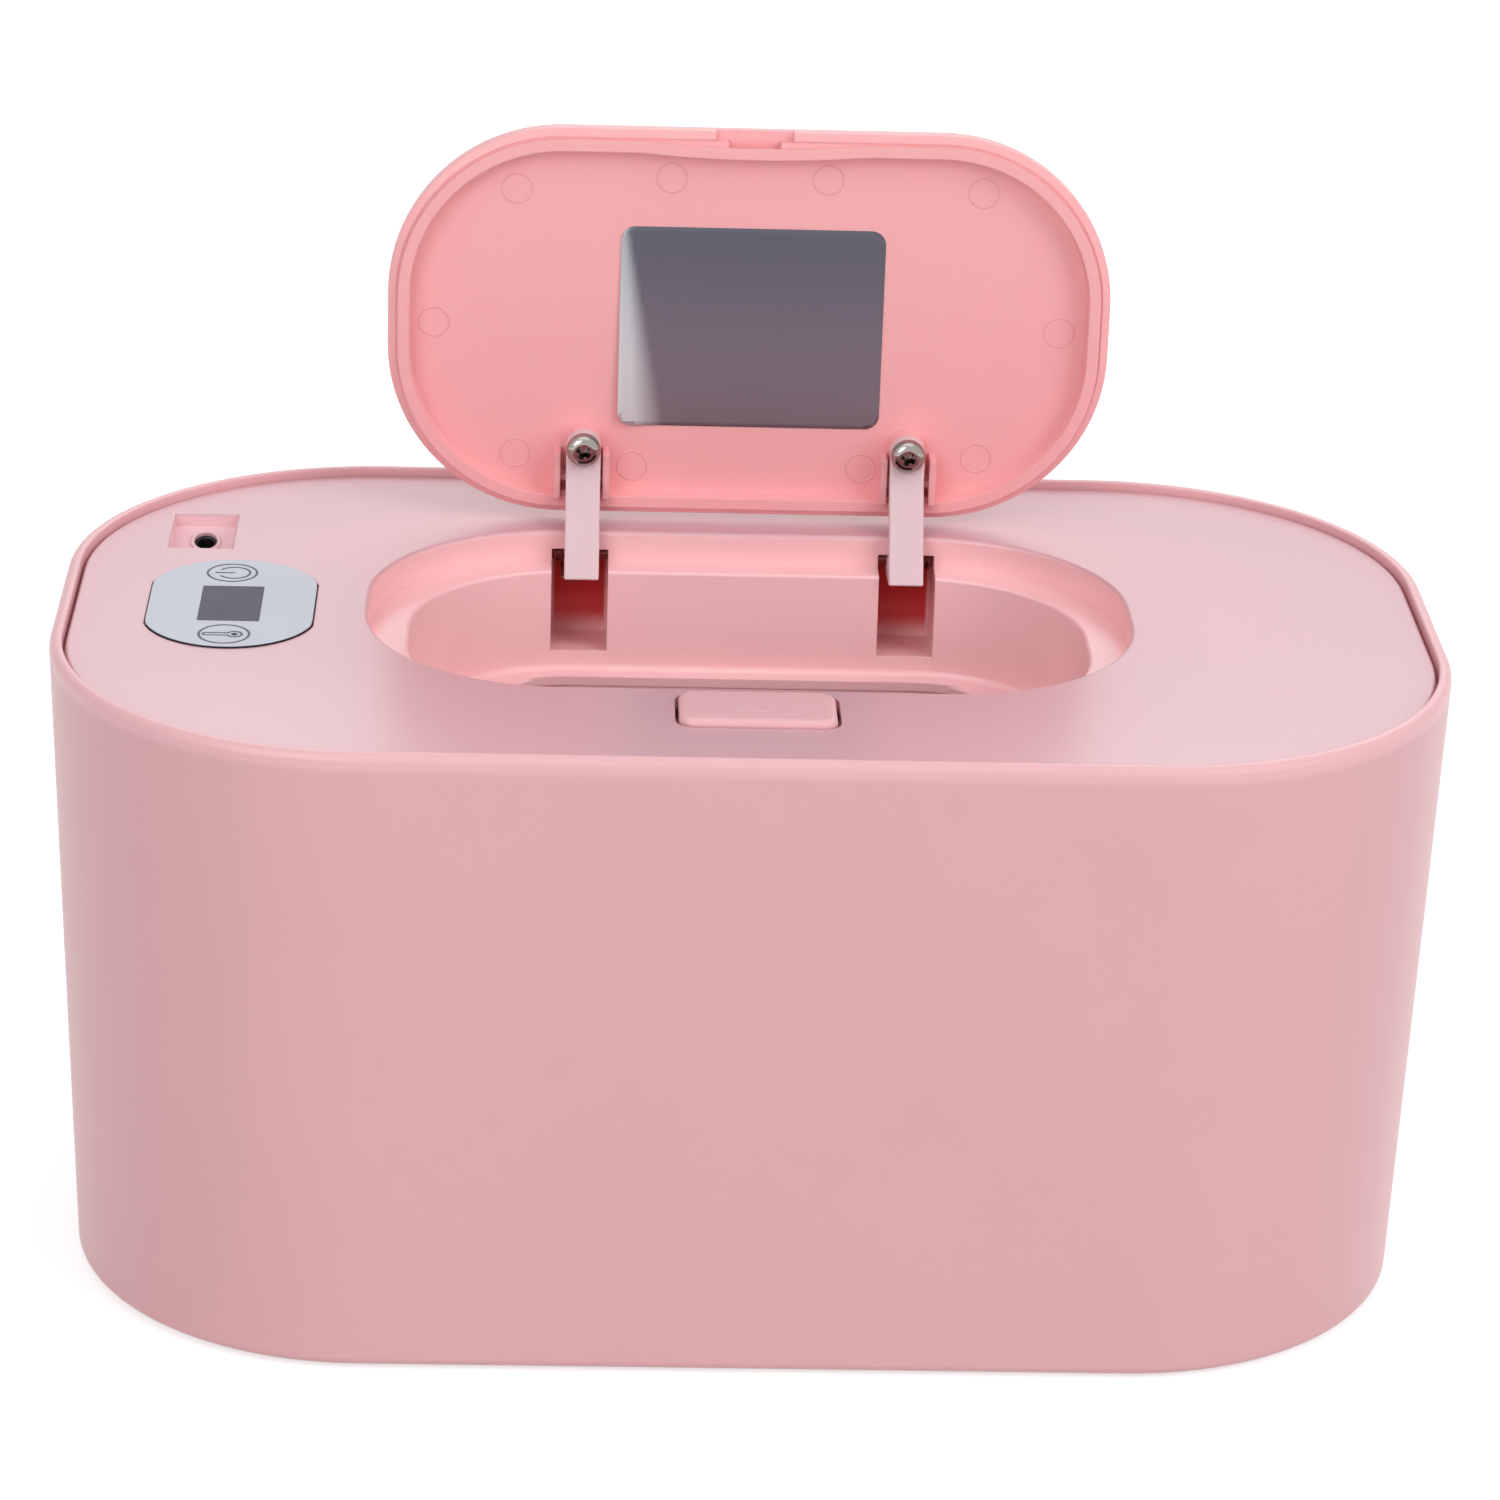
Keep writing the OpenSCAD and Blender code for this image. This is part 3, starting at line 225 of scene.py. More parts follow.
# The lid's outer face has no light behind it, so it is left without the painted glow, as pale as the deck.
lidBack = {"axis": 1, "colour": "#E6B3B8", "between": (41.5, 42.0)}   # mm
# Moulded acetal: milky and slightly see-through, with a soft waxy gloss.
armPlastic = plastic("milky acetal", "#E6CDD2", 0.42, scatter=0.35, ior=1.48)
# Plain moulded ABS, matt and paler, as under the deck; the button's mark is drawn in it as a painted light.
innerPlastic = plastic("matt pink ABS", "#F0C4C9", 0.55, grain=0.5, bump=0.2)
# Screen-printed acrylic: a cool grey face under a clear gloss.
panelFace = plastic("grey printed acrylic", "#C6CBDA", 0.16, bump=0.02, cloud=12, spread=0.015, ior=1.45)
# The acrylic's cut side, printed dark from behind.
panelSide = plastic("dark acrylic edge", "#241F2B", 0.35, bump=0.02, ior=1.45)
# Smoked acrylic over the display: dark, flat and glossy.
smokedAcrylic = plastic("smoked acrylic", "#201C3E", 0.14, bump=0.01, cloud=8, spread=0.03, ior=1.36)
# Screen ink: thin, dark and slightly rough against the gloss round it.
screenInk = plastic("grey screen ink", "#3F3F4E", 0.4, grain=0.12, bump=0.1, cloud=2, spread=0.06)
# Moulded rubber with the matt bloom and grip texture of a foot.
footRubber = plastic("moulded rubber", "#3E3E42", 0.78, grain=0.6, bump=0.5, cloud=4, spread=0.12)
# Moulded ABS of the socket: black, with a low gloss.
blackPlastic = plastic("black ABS", "#1E1E20", 0.45, cloud=3, spread=0.1)
# Polycarbonate of the display's housing: dark grey and smooth.
displayPlastic = plastic("dark polycarbonate", "#46484C", 0.35, cloud=5, spread=0.05, ior=1.58)
# Silicone insulation on the leads: soft, with a dull rubbery shine.
redSilicone = plastic("red silicone", "#9E2A2A", 0.5, grain=0.2, cloud=3, spread=0.08)
whiteSilicone = plastic("white silicone", "#DAD9D2", 0.5, grain=0.2, cloud=3, spread=0.05)
# Polyimide film of the heater: amber and glossy, over a foil track.
polyimide = plastic("polyimide film", "#B9772B", 0.25, grain=1.5, bump=0.3, cloud=6, spread=0.2, ior=1.7,
                    coat=0.4)
# Felted polyester: white fibres that lie every way, so a rough, soft surface.
feltedFibre = plastic("felted fibre", "#EDEBE1", 0.95, grain=0.25, bump=1.0, cloud=2.5, spread=0.1)
# Nickel-plated steel, turned and polished, its colour painted darker than bare nickel as a painted dark
# reflection: dark and bright at once in a pink room.
nickelSteel = metal("nickel plated steel", "#A6A09B", 0.13, (0.4, 0.4, 0.4), bump=0.05)
# Phosphated steel of the hinge pins and springs: dull, and painted a reddish brown, a painted shade, so they
# sink into the pockets' shade.
darkSteel = metal("phosphated steel", "#A0605C", 0.45, (3, 0.1, 0.1))
# Bright zinc plating of the hidden screws and the fuse: a blue-white metal with fine lines along it.
zincSteel = metal("zinc plated steel", "#C3C4C8", 0.28, (3, 0.1, 0.1))
# Rolled aluminium sheet: long faint rolling lines.
rolledAluminium = metal("rolled aluminium", "#C9CBCD", 0.34, (12, 0.2, 0.2), bump=0.25)
# Plated brass of the contact pin and touch springs: yellow and evenly bright.
platedBrass = metal("plated brass", "#D0AE62", 0.24, (0.3, 0.3, 0.3))


# Turns a skin to another colour along one axis.
def tinted(material, s):
    tree = material.node_tree
    surface, place = findNode(tree, "BSDF_PRINCIPLED"), findNode(tree, "TEX_COORD").outputs["Object"]
    along = addNode(tree, "ShaderNodeSeparateXYZ", links={0: place}).outputs[s["axis"]]
    skin = surface.inputs["Base Color"].links[0].from_socket
    blend = addNode(tree, "ShaderNodeMix", {"data_type": "RGBA", 7: colour(s["colour"])},
                    {0: softMask(tree, [(along, s["between"])]), 6: skin})
    tree.links.new(blend.outputs[2], surface.inputs["Base Color"])


tinted(tubPlastic, paintedRimGlow)
tinted(lidPlastic, lidBack)


# The deck's ABS has a clear gloss, so its flat top carries a pale haze of the room. Below the top the skin is
# painted a brighter, warmer pink, a painted light for the light reaching down into the well; the socket's
# pocket is painted lighter than the top for the same reason, and the hinge pockets are painted deep red, a
# painted shade with the red of light through their thin backs.
deckSettings = {
    # below the top: painted light in the well and the socket's pocket, painted shade in the hinge pockets
    "top": "#D9A8B0", "well": "#FFCBCE", "socket": "#F6CDD2", "pocket": "#D0302B",
    "roughness": 0.32, "coat": 0.4, "coatRoughness": 0.2, "edge": 0.3,
    "topAt": (93.8, 94.3), "socketAt": (-62, -66), "pocketMiddle": 24.75, "pocketSide": (4.3, 3.6),   # mm
    "pocketBack": (31.5, 35.5), "pocketFoot": (75.5, 79.5), "pocketTop": 91.6,   # mm
}


def deckSkin(s):
    material = plastic("pale pink ABS", s["well"], s["roughness"], coat=s["coat"], edge=s["edge"])
    tree = material.node_tree
    surface, place = findNode(tree, "BSDF_PRINCIPLED"), findNode(tree, "TEX_COORD").outputs["Object"]
    surface.inputs["Coat Roughness"].default_value = s["coatRoughness"]
    x, y, z = addNode(tree, "ShaderNodeSeparateXYZ", links={0: place}).outputs
    side = addNode(tree, "ShaderNodeMath", {"operation": "ABSOLUTE"}, {0: x})
    off = addNode(tree, "ShaderNodeMath", {"operation": "SUBTRACT", 1: s["pocketMiddle"] * mm},
                  {0: side.outputs[0]})
    away = addNode(tree, "ShaderNodeMath", {"operation": "ABSOLUTE"}, {0: off.outputs[0]})
    below = addNode(tree, "ShaderNodeMath", {"operation": "LESS_THAN", 1: s["pocketTop"] * mm}, {0: z})
    pocket = softMask(tree, [(away.outputs[0], s["pocketSide"]), (y, s["pocketBack"]), (z, s["pocketFoot"])],
                      below.outputs[0])
    top, socket = softMask(tree, [(z, s["topAt"])]), softMask(tree, [(x, s["socketAt"])])
    skin = surface.inputs["Base Color"].links[0].from_socket
    # the socket pocket's painted light, the top's own colour, then the hinge pockets' painted shade
    for factor, hexCode in ((socket, s["socket"]), (top, s["top"]), (pocket, s["pocket"])):
        skin = addNode(tree, "ShaderNodeMix", {"data_type": "RGBA", 7: colour(hexCode)},
                       {0: factor, 6: skin}).outputs[2]
    tree.links.new(skin, surface.inputs["Base Color"])
    return material


deckPlastic = deckSkin(deckSettings)


# Lacquered circuit board: green lacquer, a little lighter where the copper tracks run under it.
boardSettings = {
    "lacquer": "#1F5A38", "roughness": 0.3, "between": 0.85, "track": 1.9,   # two shares of its colour
    "pitch": 2.54, "trackWidth": 0.06, "trackDepth": 0.03,   # mm, a share of the pitch, mm
}


def boardLacquer(s):
    base = colour(s["lacquer"])
    material, tree, surface, place = newMaterial("green board lacquer",
                                                 **{"Base Color": base, "Roughness": s["roughness"]})
    tracks = addNode(tree, "ShaderNodeTexBrick", {
        "Scale": 1 / (s["pitch"] * mm), "Color1": base, "Color2": shade(base, s["between"]),
        "Mortar": shade(base, s["track"]), "Mortar Size": s["trackWidth"], "Brick Width": 2.0,
        "Row Height": 0.5}, {"Vector": place})
    dress(tree, surface, tracks.outputs[0], (tracks.outputs[1], 0.3, s["trackDepth"]))
    return material


print("materials made")


def linked(name, mesh, *materials):
    for material in materials:
        mesh.materials.append(material)
    piece = bpy.data.objects.new(name, mesh)
    scene.collection.objects.link(piece)
    return piece


# Smooth where faces meet at less than the angle, with the flat faces kept flat.
def smoothed(piece, angle=32):
    piece.data.shade_smooth()
    piece.data.set_sharp_from_angle(angle=math.radians(angle))
    weighted = piece.modifiers.new("weightedNormals", "WEIGHTED_NORMAL")
    weighted.keep_sharp, weighted.weight = True, 60


# A piece rides on the body of the CAD nodes that it stands for.
def standIn(piece, cadNodes):
    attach(piece, nodes[cadNodes[0]]["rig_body"])
    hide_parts(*cadNodes)


def addOn(piece, body):
    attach(piece, body)


# A tree with named inputs of the given kinds, beside its geometry and its material.
def makeTree(name, **inputs):
    tree = bpy.data.node_groups.new(name, "GeometryNodeTree")
    tree.is_modifier = True
    for kind, labels in {"Geometry": ["Geometry"], **inputs, "Material": ["Material"]}.items():
        for label in labels:
            tree.interface.new_socket(label, in_out="INPUT", socket_type="NodeSocket" + kind)
    tree.interface.new_socket("Geometry", in_out="OUTPUT", socket_type="NodeSocketGeometry")
    return tree, addNode(tree, "NodeGroupInput").outputs


# Every tree ends alike: real geometry, in one material.
def closeTree(tree, geometry, material):
    real = addNode(tree, "GeometryNodeRealizeInstances", links={"Geometry": geometry})
    last = addNode(tree, "GeometryNodeSetMaterial", links={"Geometry": real.outputs[0], "Material": material})
    addNode(tree, "NodeGroupOutput", links={"Geometry": last.outputs[0]})
    return tree


# Runs a tree on a mesh and returns the result as a plain piece. Its Float inputs are sizes in mm.
def grow(name, mesh, tree, values):
    source = linked(name + "Source", mesh)
    modifier = source.modifiers.new("nodes", "NODES")
    modifier.node_group = tree
    for item in tree.interface.items_tree:
        if item.in_out == "INPUT" and item.name in values:
            isSize = item.socket_type == "NodeSocketFloat"
            modifier[item.identifier] = values[item.name] * mm if isSize else values[item.name]
    graph = bpy.context.evaluated_depsgraph_get()
    made = bpy.data.meshes.new_from_object(source.evaluated_get(graph), depsgraph=graph)
    made.name = name
    bpy.data.objects.remove(source)
    return linked(name, made)


def inRadians(angles):
    return tuple(math.radians(a) for a in angles)


# Points in mm along an arc, from one angle to the other.
def arc(x, y, radius, start, end, steps):
    angles = [math.radians(start + (end - start) * i / steps) for i in range(steps + 1)]
    return [(x + radius * math.cos(a), y + radius * math.sin(a)) for a in angles]


# A mesh of loose lines through points in mm; a closed line ends where it starts.
def lineMesh(name, lines):
    points, edges = [], []
    for line, closed in lines:
        first, count = len(points), len(line)
        points += [tuple(v * mm for v in p) for p in line]
        edges += [(first + i, first + (i + 1) % count) for i in range(count if closed else count - 1)]
    mesh = bpy.data.meshes.new(name)
    mesh.from_pydata(points, edges, [])
    return mesh


def endWork(work, name):
    mesh = bpy.data.meshes.new(name)
    work.to_mesh(mesh)
    work.free()
    return mesh


# Turns an outline of (radius, height) in mm round Z. An open outline starts and ends on the axis.
def lathe(name, outline, closed=False, steps=40):
    work = bmesh.new()
    points = [work.verts.new((x * mm, 0, z * mm)) for x, z in outline]
    edges = [work.edges.new(pair) for pair in zip(points, points[1:] + points[:closed])]
    bmesh.ops.spin(work, geom=points + edges, cent=(0, 0, 0), axis=(0, 0, 1), dvec=(0, 0, 0),
                   angle=2 * math.pi, steps=steps, use_merge=True)
    bmesh.ops.remove_doubles(work, verts=work.verts, dist=0.0005 * mm)
    bmesh.ops.dissolve_degenerate(work, dist=0.0005 * mm, edges=work.edges)
    bmesh.ops.recalc_face_normals(work, faces=work.faces)
    return endWork(work, name)


# The tub is a wall profile swept round a rounded rectangle, with a floor and four seats for the feet.
tubSettings = {   # mm
    "halfWidth": 100, "halfDepth": 59.2, "cornerRadius": 45.1, "cornerSteps": 40,   # plan of the rim
    "underside": 0.6, "height": 95, "draft": 2.5, "wall": 2.2, "floor": 2.5, "floorChamfer": 1.5,
    "baseRound": 1.5, "rimWidth": 1.8, "rimRound": 1.2, "innerRound": 0.3, "roundSteps": 8, "innerSteps": 4,
    "shoulderIn": 3.45, "shoulderDrop": 3.4, "shoulderLip": 2.4, "shoulderFoot": 6,
    "floorIn": 14, "footX": 66, "footY": 28, "seatDiameter": 12.2, "seatDepth": 1.0,
}


def tubTree():
    tree, given = makeTree("sweptTub", Int=["Corner Steps"], Float=[
        "Width", "Depth", "Corner Radius", "Mid Floor", "Underside", "Floor Top", "Foot Span X", "Foot Span Y",
        "Seat Radius", "Seat Depth"])
    plan = addNode(tree, "GeometryNodeCurvePrimitiveQuadrilateral", {"mode": "RECTANGLE"},
                   {"Width": given["Width"], "Height": given["Depth"]})
    rounded = addNode(tree, "GeometryNodeFilletCurve", {"mode": "POLY"}, {
        "Curve": plan.outputs[0], "Count": given["Corner Steps"], "Radius": given["Corner Radius"]})
    profile = addNode(tree, "GeometryNodeMeshToCurve", links={"Mesh": given["Geometry"]})
    wall = addNode(tree, "GeometryNodeCurveToMesh", links={
        "Curve": rounded.outputs[0], "Profile Curve": profile.outputs[0]})
    # the two open edges of the swept wall become the floor's two faces
    count = addNode(tree, "GeometryNodeInputMeshEdgeNeighbors")
    openEdge = addNode(tree, "FunctionNodeCompare", {"data_type": "INT", "operation": "EQUAL", 3: 1},
                       {2: count.outputs[0]})
    place = addNode(tree, "GeometryNodeInputPosition")
    height = addNode(tree, "ShaderNodeSeparateXYZ", links={0: place.outputs[0]}).outputs[2]
    outward = addNode(tree, "GeometryNodeFlipFaces", links={"Mesh": wall.outputs[0]})
    parts = [outward.outputs[0]]
    for level, operation in (("Underside", "LESS_THAN"), ("Floor Top", "GREATER_THAN")):
        side = addNode(tree, "FunctionNodeCompare", {"data_type": "FLOAT", "operation": operation},
                       {0: height, 1: given["Mid Floor"]})
        both = addNode(tree, "FunctionNodeBooleanMath", {"operation": "AND"},
                       {0: openEdge.outputs[0], 1: side.outputs[0]})
        ring = addNode(tree, "GeometryNodeMeshToCurve", links={
            "Mesh": wall.outputs[0], "Selection": both.outputs[0]})
        face = addNode(tree, "GeometryNodeFillCurve", {"mode": "NGONS"}, {"Curve": ring.outputs[0]})
        lift = addNode(tree, "ShaderNodeCombineXYZ", links={2: given[level]})
        moved = addNode(tree, "GeometryNodeTransform", links={
            "Geometry": face.outputs[0], "Translation": lift.outputs[0]})
        if level == "Underside":
            moved = addNode(tree, "GeometryNodeFlipFaces", links={"Mesh": moved.outputs[0]})
        parts.append(moved.outputs[0])
    joined = addNode(tree, "GeometryNodeJoinGeometry", links={"Geometry": parts})
    closed = addNode(tree, "GeometryNodeMergeByDistance", {"Distance": 0.002 * mm},
                     {"Geometry": joined.outputs[0]})
    # the seats of the feet, cut from below
    spots = addNode(tree, "GeometryNodeMeshGrid", {"Vertices X": 2, "Vertices Y": 2},
                    {"Size X": given["Foot Span X"], "Size Y": given["Foot Span Y"]})
    depth = addNode(tree, "ShaderNodeMath", {"operation": "MULTIPLY", 1: 2.0}, {0: given["Seat Depth"]})
    bore = addNode(tree, "GeometryNodeMeshCylinder", {"Vertices": 64},
                   {"Radius": given["Seat Radius"], "Depth": depth.outputs[0]})
    bores = addNode(tree, "GeometryNodeInstanceOnPoints", links={
        "Points": spots.outputs[0], "Instance": bore.outputs[0]})
    real = addNode(tree, "GeometryNodeRealizeInstances", links={"Geometry": bores.outputs[0]})
    low = addNode(tree, "ShaderNodeCombineXYZ", links={2: given["Underside"]})
    lowered = addNode(tree, "GeometryNodeTransform", links={
        "Geometry": real.outputs[0], "Translation": low.outputs[0]})
    cut = addNode(tree, "GeometryNodeMeshBoolean", {"operation": "DIFFERENCE", "solver": "EXACT"},
                  {"Mesh 1": closed.outputs[0], "Mesh 2": lowered.outputs[0]})
    return closeTree(tree, cut.outputs[0], given["Material"])


def buildTub(s):
    base, top = s["underside"], s["underside"] + s["height"]
    floorTop, shoulder = base + s["floor"], top - s["shoulderDrop"]
    foot, chamfer, n = shoulder - s["shoulderFoot"], s["floorChamfer"], s["roundSteps"]
    baseRound, rimRound, innerRound = s["baseRound"], s["rimRound"], s["innerRound"]

    # how far the outer wall leans in at a height
    def lean(z):
        return -s["draft"] * (1 - (z - base) / s["height"])

    outline = [(-s["floorIn"], base)]
    outline += arc(lean(base + baseRound) - baseRound, base + baseRound, baseRound, -90, 0, n)
    outline += arc(-rimRound, top - rimRound, rimRound, 0, 90, n)
    outline += arc(-s["rimWidth"] + innerRound, top - innerRound, innerRound, 90, 180, s["innerSteps"])
    outline += [(-s["rimWidth"], shoulder), (-s["shoulderIn"], shoulder),
                (-s["shoulderIn"], shoulder - s["shoulderLip"]), (lean(foot) - s["wall"], foot),
                (lean(floorTop + chamfer) - s["wall"], floorTop + chamfer),
                (lean(floorTop) - s["wall"] - chamfer, floorTop), (-s["floorIn"], floorTop)]
    profile = lineMesh("tubProfile", [([(x, -z, 0) for x, z in outline], False)])   # the sweep turns Y into -Z
    tub = grow("tub", profile, tubTree(), {
        "Width": 2 * s["halfWidth"], "Depth": 2 * s["halfDepth"], "Corner Radius": s["cornerRadius"],
        "Corner Steps": s["cornerSteps"], "Mid Floor": base + s["floor"] / 2, "Underside": base,
        "Floor Top": floorTop, "Foot Span X": 2 * s["footX"], "Foot Span Y": 2 * s["footY"],
        "Seat Radius": s["seatDiameter"] / 2, "Seat Depth": s["seatDepth"], "Material": tubPlastic})
    smoothed(tub)
    standIn(tub, ["body_shell"])
    print("tub:", len(tub.data.polygons), "faces")


buildTub(tubSettings)


# The moulded and sheet pieces are CAD solids with their facets merged and their shading smoothed.
solidPieces = {   # CAD node: piece, material, the record's slot, smoothing angle, edge rounding in mm
    "top_deck": ("deck", deckPlastic, "deck_plastic", 32, 0),
    "lid_shell": ("lid", lidPlastic, "pink_plastic", 32, 0),
    "push_button": ("button", tubPlastic, "pink_plastic", 32, 0),
    "latch_slider": ("latch", tubPlastic, "pink_plastic", 45, 0.15),
    "hinge_arm_left": ("armLeft", armPlastic, "arm_plastic", 45, 0.3),
    "hinge_arm_right": ("armRight", armPlastic, "arm_plastic", 45, 0.3),
    "inner_cover": ("innerCover", innerPlastic, "inner_plastic", 32, 0),
    "rubber_feet": ("feet", footRubber, "rubber", 32, 0),
    "heat_plate": ("heatPlate", rolledAluminium, "heat_plate", 32, 0),
    "heater_film": ("heaterFilm", polyimide, "film", 32, 0),
    "insulation_pad": ("insulation", feltedFibre, "foam", 32, 0),
    "temperature_sensor": ("temperatureSensor", blackPlastic, "black_plastic", 40, 0),
    "thermal_fuse": ("thermalFuse", zincSteel, "steel", 40, 0),
    "control_board": ("board", boardLacquer(boardSettings), "circuit_board", 32, 0),
    "display_module": ("display", displayPlastic, "display", 45, 0.2),
    "touch_springs": ("touchSprings", platedBrass, "brass", 65, 0),
    "power_jack": ("socket", blackPlastic, "black_plastic", 32, 0),
    "jack_pin": ("socketPin", platedBrass, "brass", 40, 0),
    "supply_leads": ("supplyLeads", redSilicone, "red_lead", 60, 0),
    "heater_leads": ("heaterLeads", whiteSilicone, "white_lead", 60, 0),
    "hinge_pins": ("hingePins", darkSteel, "steel", 32, 0),
}
softEdges = {   # CAD node: two corners of the box that holds the edges, and their radius, mm
    "top_deck": ((-86.5, 23.2, 94.35), (-76.3, 38.2, 94.45), 0.35),   # round the socket's pocket
}
mergeDistance, flatAngle = 0.001, 0.1   # mm and degrees: facets this near to flat are one face


def mergedMesh(nodeName, name, soft=None):
    mesh = nodes[nodeName].data.copy()
    mesh.name = name
    if "custom_normal" in mesh.attributes:
        mesh.attributes.remove(mesh.attributes["custom_normal"])
    work = bmesh.new()
    work.from_mesh(mesh)
    bmesh.ops.remove_doubles(work, verts=work.verts, dist=mergeDistance * mm)
    bmesh.ops.dissolve_limit(work, angle_limit=math.radians(flatAngle), verts=work.verts, edges=work.edges)
    if soft:
        low, high, radius = Vector(soft[0]) * mm, Vector(soft[1]) * mm, soft[2] * mm
        inside = [e for e in work.edges if all(low[i] < v.co[i] < high[i] for v in e.verts for i in range(3))]
        bmesh.ops.bevel(work, geom=inside, offset=radius, segments=4, profile=0.5, affect="EDGES")
    work.to_mesh(mesh)
    work.free()
    mesh.materials.clear()
    return mesh


def buildSolidPieces(plan):
    for nodeName, (name, material, slotName, angle, rounding) in plan.items():
        piece = linked(name, mergedMesh(nodeName, name, softEdges.get(nodeName)), material)
        if rounding:
            bevel = piece.modifiers.new("roundEdges", "BEVEL")
            bevel.width, bevel.segments, bevel.limit_method = rounding * mm, 3, "ANGLE"
            bevel.angle_limit, bevel.use_clamp_overlap = math.radians(40), True
        smoothed(piece, angle)
        standIn(piece, [nodeName])
    print("solid pieces:", len(plan))


buildSolidPieces(solidPieces)
for name in ("lid_springs", "latch_spring"):   # these spring wires stay as CAD nodes, with only their material set
    nodes[name].data.materials.clear()
    nodes[name].data.materials.append(darkSteel)


# Each screw is a turned head with a cross recess, set on its hole and turned at random.
screwSettings = {   # sizes in mm, angles in degrees; facing turns a screw that points up
    "armScrews": {"node": "arm_screws", "head": 5.2, "tall": 1.7, "shank": 2.4, "length": 4.89,
                  "facing": (-90, 0, 0), "places": [(-24.5, 35.8, 106.76), (24.5, 35.8, 106.76)],
                  "material": nickelSteel, "seed": 4},
    "coverScrews": {"node": "cover_screws", "head": 5.4, "tall": 1.6, "shank": 2.4, "length": 11,
                    "facing": (0, 0, 0), "places": None, "material": zincSteel, "seed": 7},
    "boardScrews": {"node": "board_screws", "head": 3.2, "tall": 1.1, "shank": 1.6, "length": 4,
                    "facing": (0, 0, 0), "places": None, "material": zincSteel, "seed": 9},
}
recessShares = {"span": 0.46, "width": 0.17, "depth": 0.8, "foot": 0.3}   # of the head, its height, the span
headShares = {"dome": 0.8, "side": 0.2}   # of the head's height
tipWidth, tipLength = 0.6, 0.6   # a share of the shank's width, and mm


def screwTree():
    tree, given = makeTree("setScrews", Object=["Blank"], Vector=["Facing"], Int=["Seed"], Float=[
        "Recess Span", "Recess Width", "Recess Depth", "Head Height"])
    blank = addNode(tree, "GeometryNodeObjectInfo", links={"Object": given["Blank"]})
    # a cross recess: two thin tapered wedges, widest at the head's top
    depth = addNode(tree, "ShaderNodeMath", {"operation": "MULTIPLY", 1: 2.0}, {0: given["Recess Depth"]})
    foot = addNode(tree, "ShaderNodeMath", {"operation": "MULTIPLY", 1: recessShares["foot"]},
                   {0: given["Recess Span"]})
    wedge = addNode(tree, "GeometryNodeMeshCone", {"Vertices": 4}, {
        "Radius Bottom": given["Recess Span"], "Radius Top": foot.outputs[0], "Depth": depth.outputs[0]})
    drop = addNode(tree, "ShaderNodeMath", {"operation": "ADD"},
                   {0: given["Head Height"], 1: given["Recess Depth"]})
    below = addNode(tree, "ShaderNodeMath", {"operation": "MULTIPLY", 1: -1.0}, {0: drop.outputs[0]})
    start = addNode(tree, "ShaderNodeCombineXYZ", links={2: below.outputs[0]})
    thin = addNode(tree, "ShaderNodeMath", {"operation": "DIVIDE"},
                   {0: given["Recess Width"], 1: given["Recess Span"]})
    square = addNode(tree, "GeometryNodeTransform", {"Rotation": inRadians((0, 0, 45))},
                     {"Geometry": wedge.outputs[0]})
    flat = addNode(tree, "ShaderNodeCombineXYZ", {0: 1.0, 2: 1.0}, {1: thin.outputs[0]})
    blade = addNode(tree, "GeometryNodeTransform", links={
        "Geometry": square.outputs[0], "Scale": flat.outputs[0], "Translation": start.outputs[0]})
    wedges = [addNode(tree, "GeometryNodeTransform", {"Rotation": inRadians((0, 0, turn))},
                      {"Geometry": blade.outputs[0]}).outputs[0] for turn in (0, 90)]
    cut = addNode(tree, "GeometryNodeMeshBoolean", {"operation": "DIFFERENCE", "solver": "EXACT"},
                  {"Mesh 1": blank.outputs["Geometry"], "Mesh 2": wedges})
    each = addNode(tree, "GeometryNodeInstanceOnPoints", links={
        "Points": given["Geometry"], "Instance": cut.outputs[0], "Rotation": given["Facing"]})
    spin = addNode(tree, "FunctionNodeRandomValue", {"data_type": "FLOAT_VECTOR", 1: (0, 0, math.pi)},
                   {"Seed": given["Seed"]})
    spun = addNode(tree, "GeometryNodeRotateInstances", links={
        "Instances": each.outputs[0], "Rotation": spin.outputs[0]})
    return closeTree(tree, spun.outputs[0], given["Material"])


# The outline of a screw that stands on its head: the head below z 0 and the shank above.
def screwOutline(s):
    head, shank = s["head"] / 2, s["shank"] / 2
    dome, side = s["tall"] * headShares["dome"], s["tall"] * headShares["side"]
    outline = [(0, -s["tall"])] + [(head - dome * (1 - math.cos(a)), -side - dome * math.sin(a))
                                   for a in (math.radians(90 - 9 * i) for i in range(11))]
    return outline + [(head, 0), (shank, 0), (shank, s["length"] - tipLength),
                      (shank * tipWidth, s["length"]), (0, s["length"])]


# Where the screws of a node stand: the middle of each loose solid in plan, at the height of its seat.
def screwPlaces(s):
    work = bmesh.new()
    work.from_mesh(nodes[s["node"]].data)
    bmesh.ops.remove_doubles(work, verts=work.verts, dist=mergeDistance * mm)
    left, places = set(work.verts), []
    while left:
        island, edge = set(), [left.pop()]
        while edge:
            vert = edge.pop()
            island.add(vert)
            near = [e.other_vert(vert) for e in vert.link_edges if e.other_vert(vert) in left]
            left.difference_update(near)
            edge += near
        low, high = (Vector([pick(v.co[i] for v in island) for i in range(3)]) for pick in (min, max))
        places.append(((low.x + high.x) / 2 / mm, (low.y + high.y) / 2 / mm, low.z / mm + s["tall"]))
    work.free()
    return sorted(places)


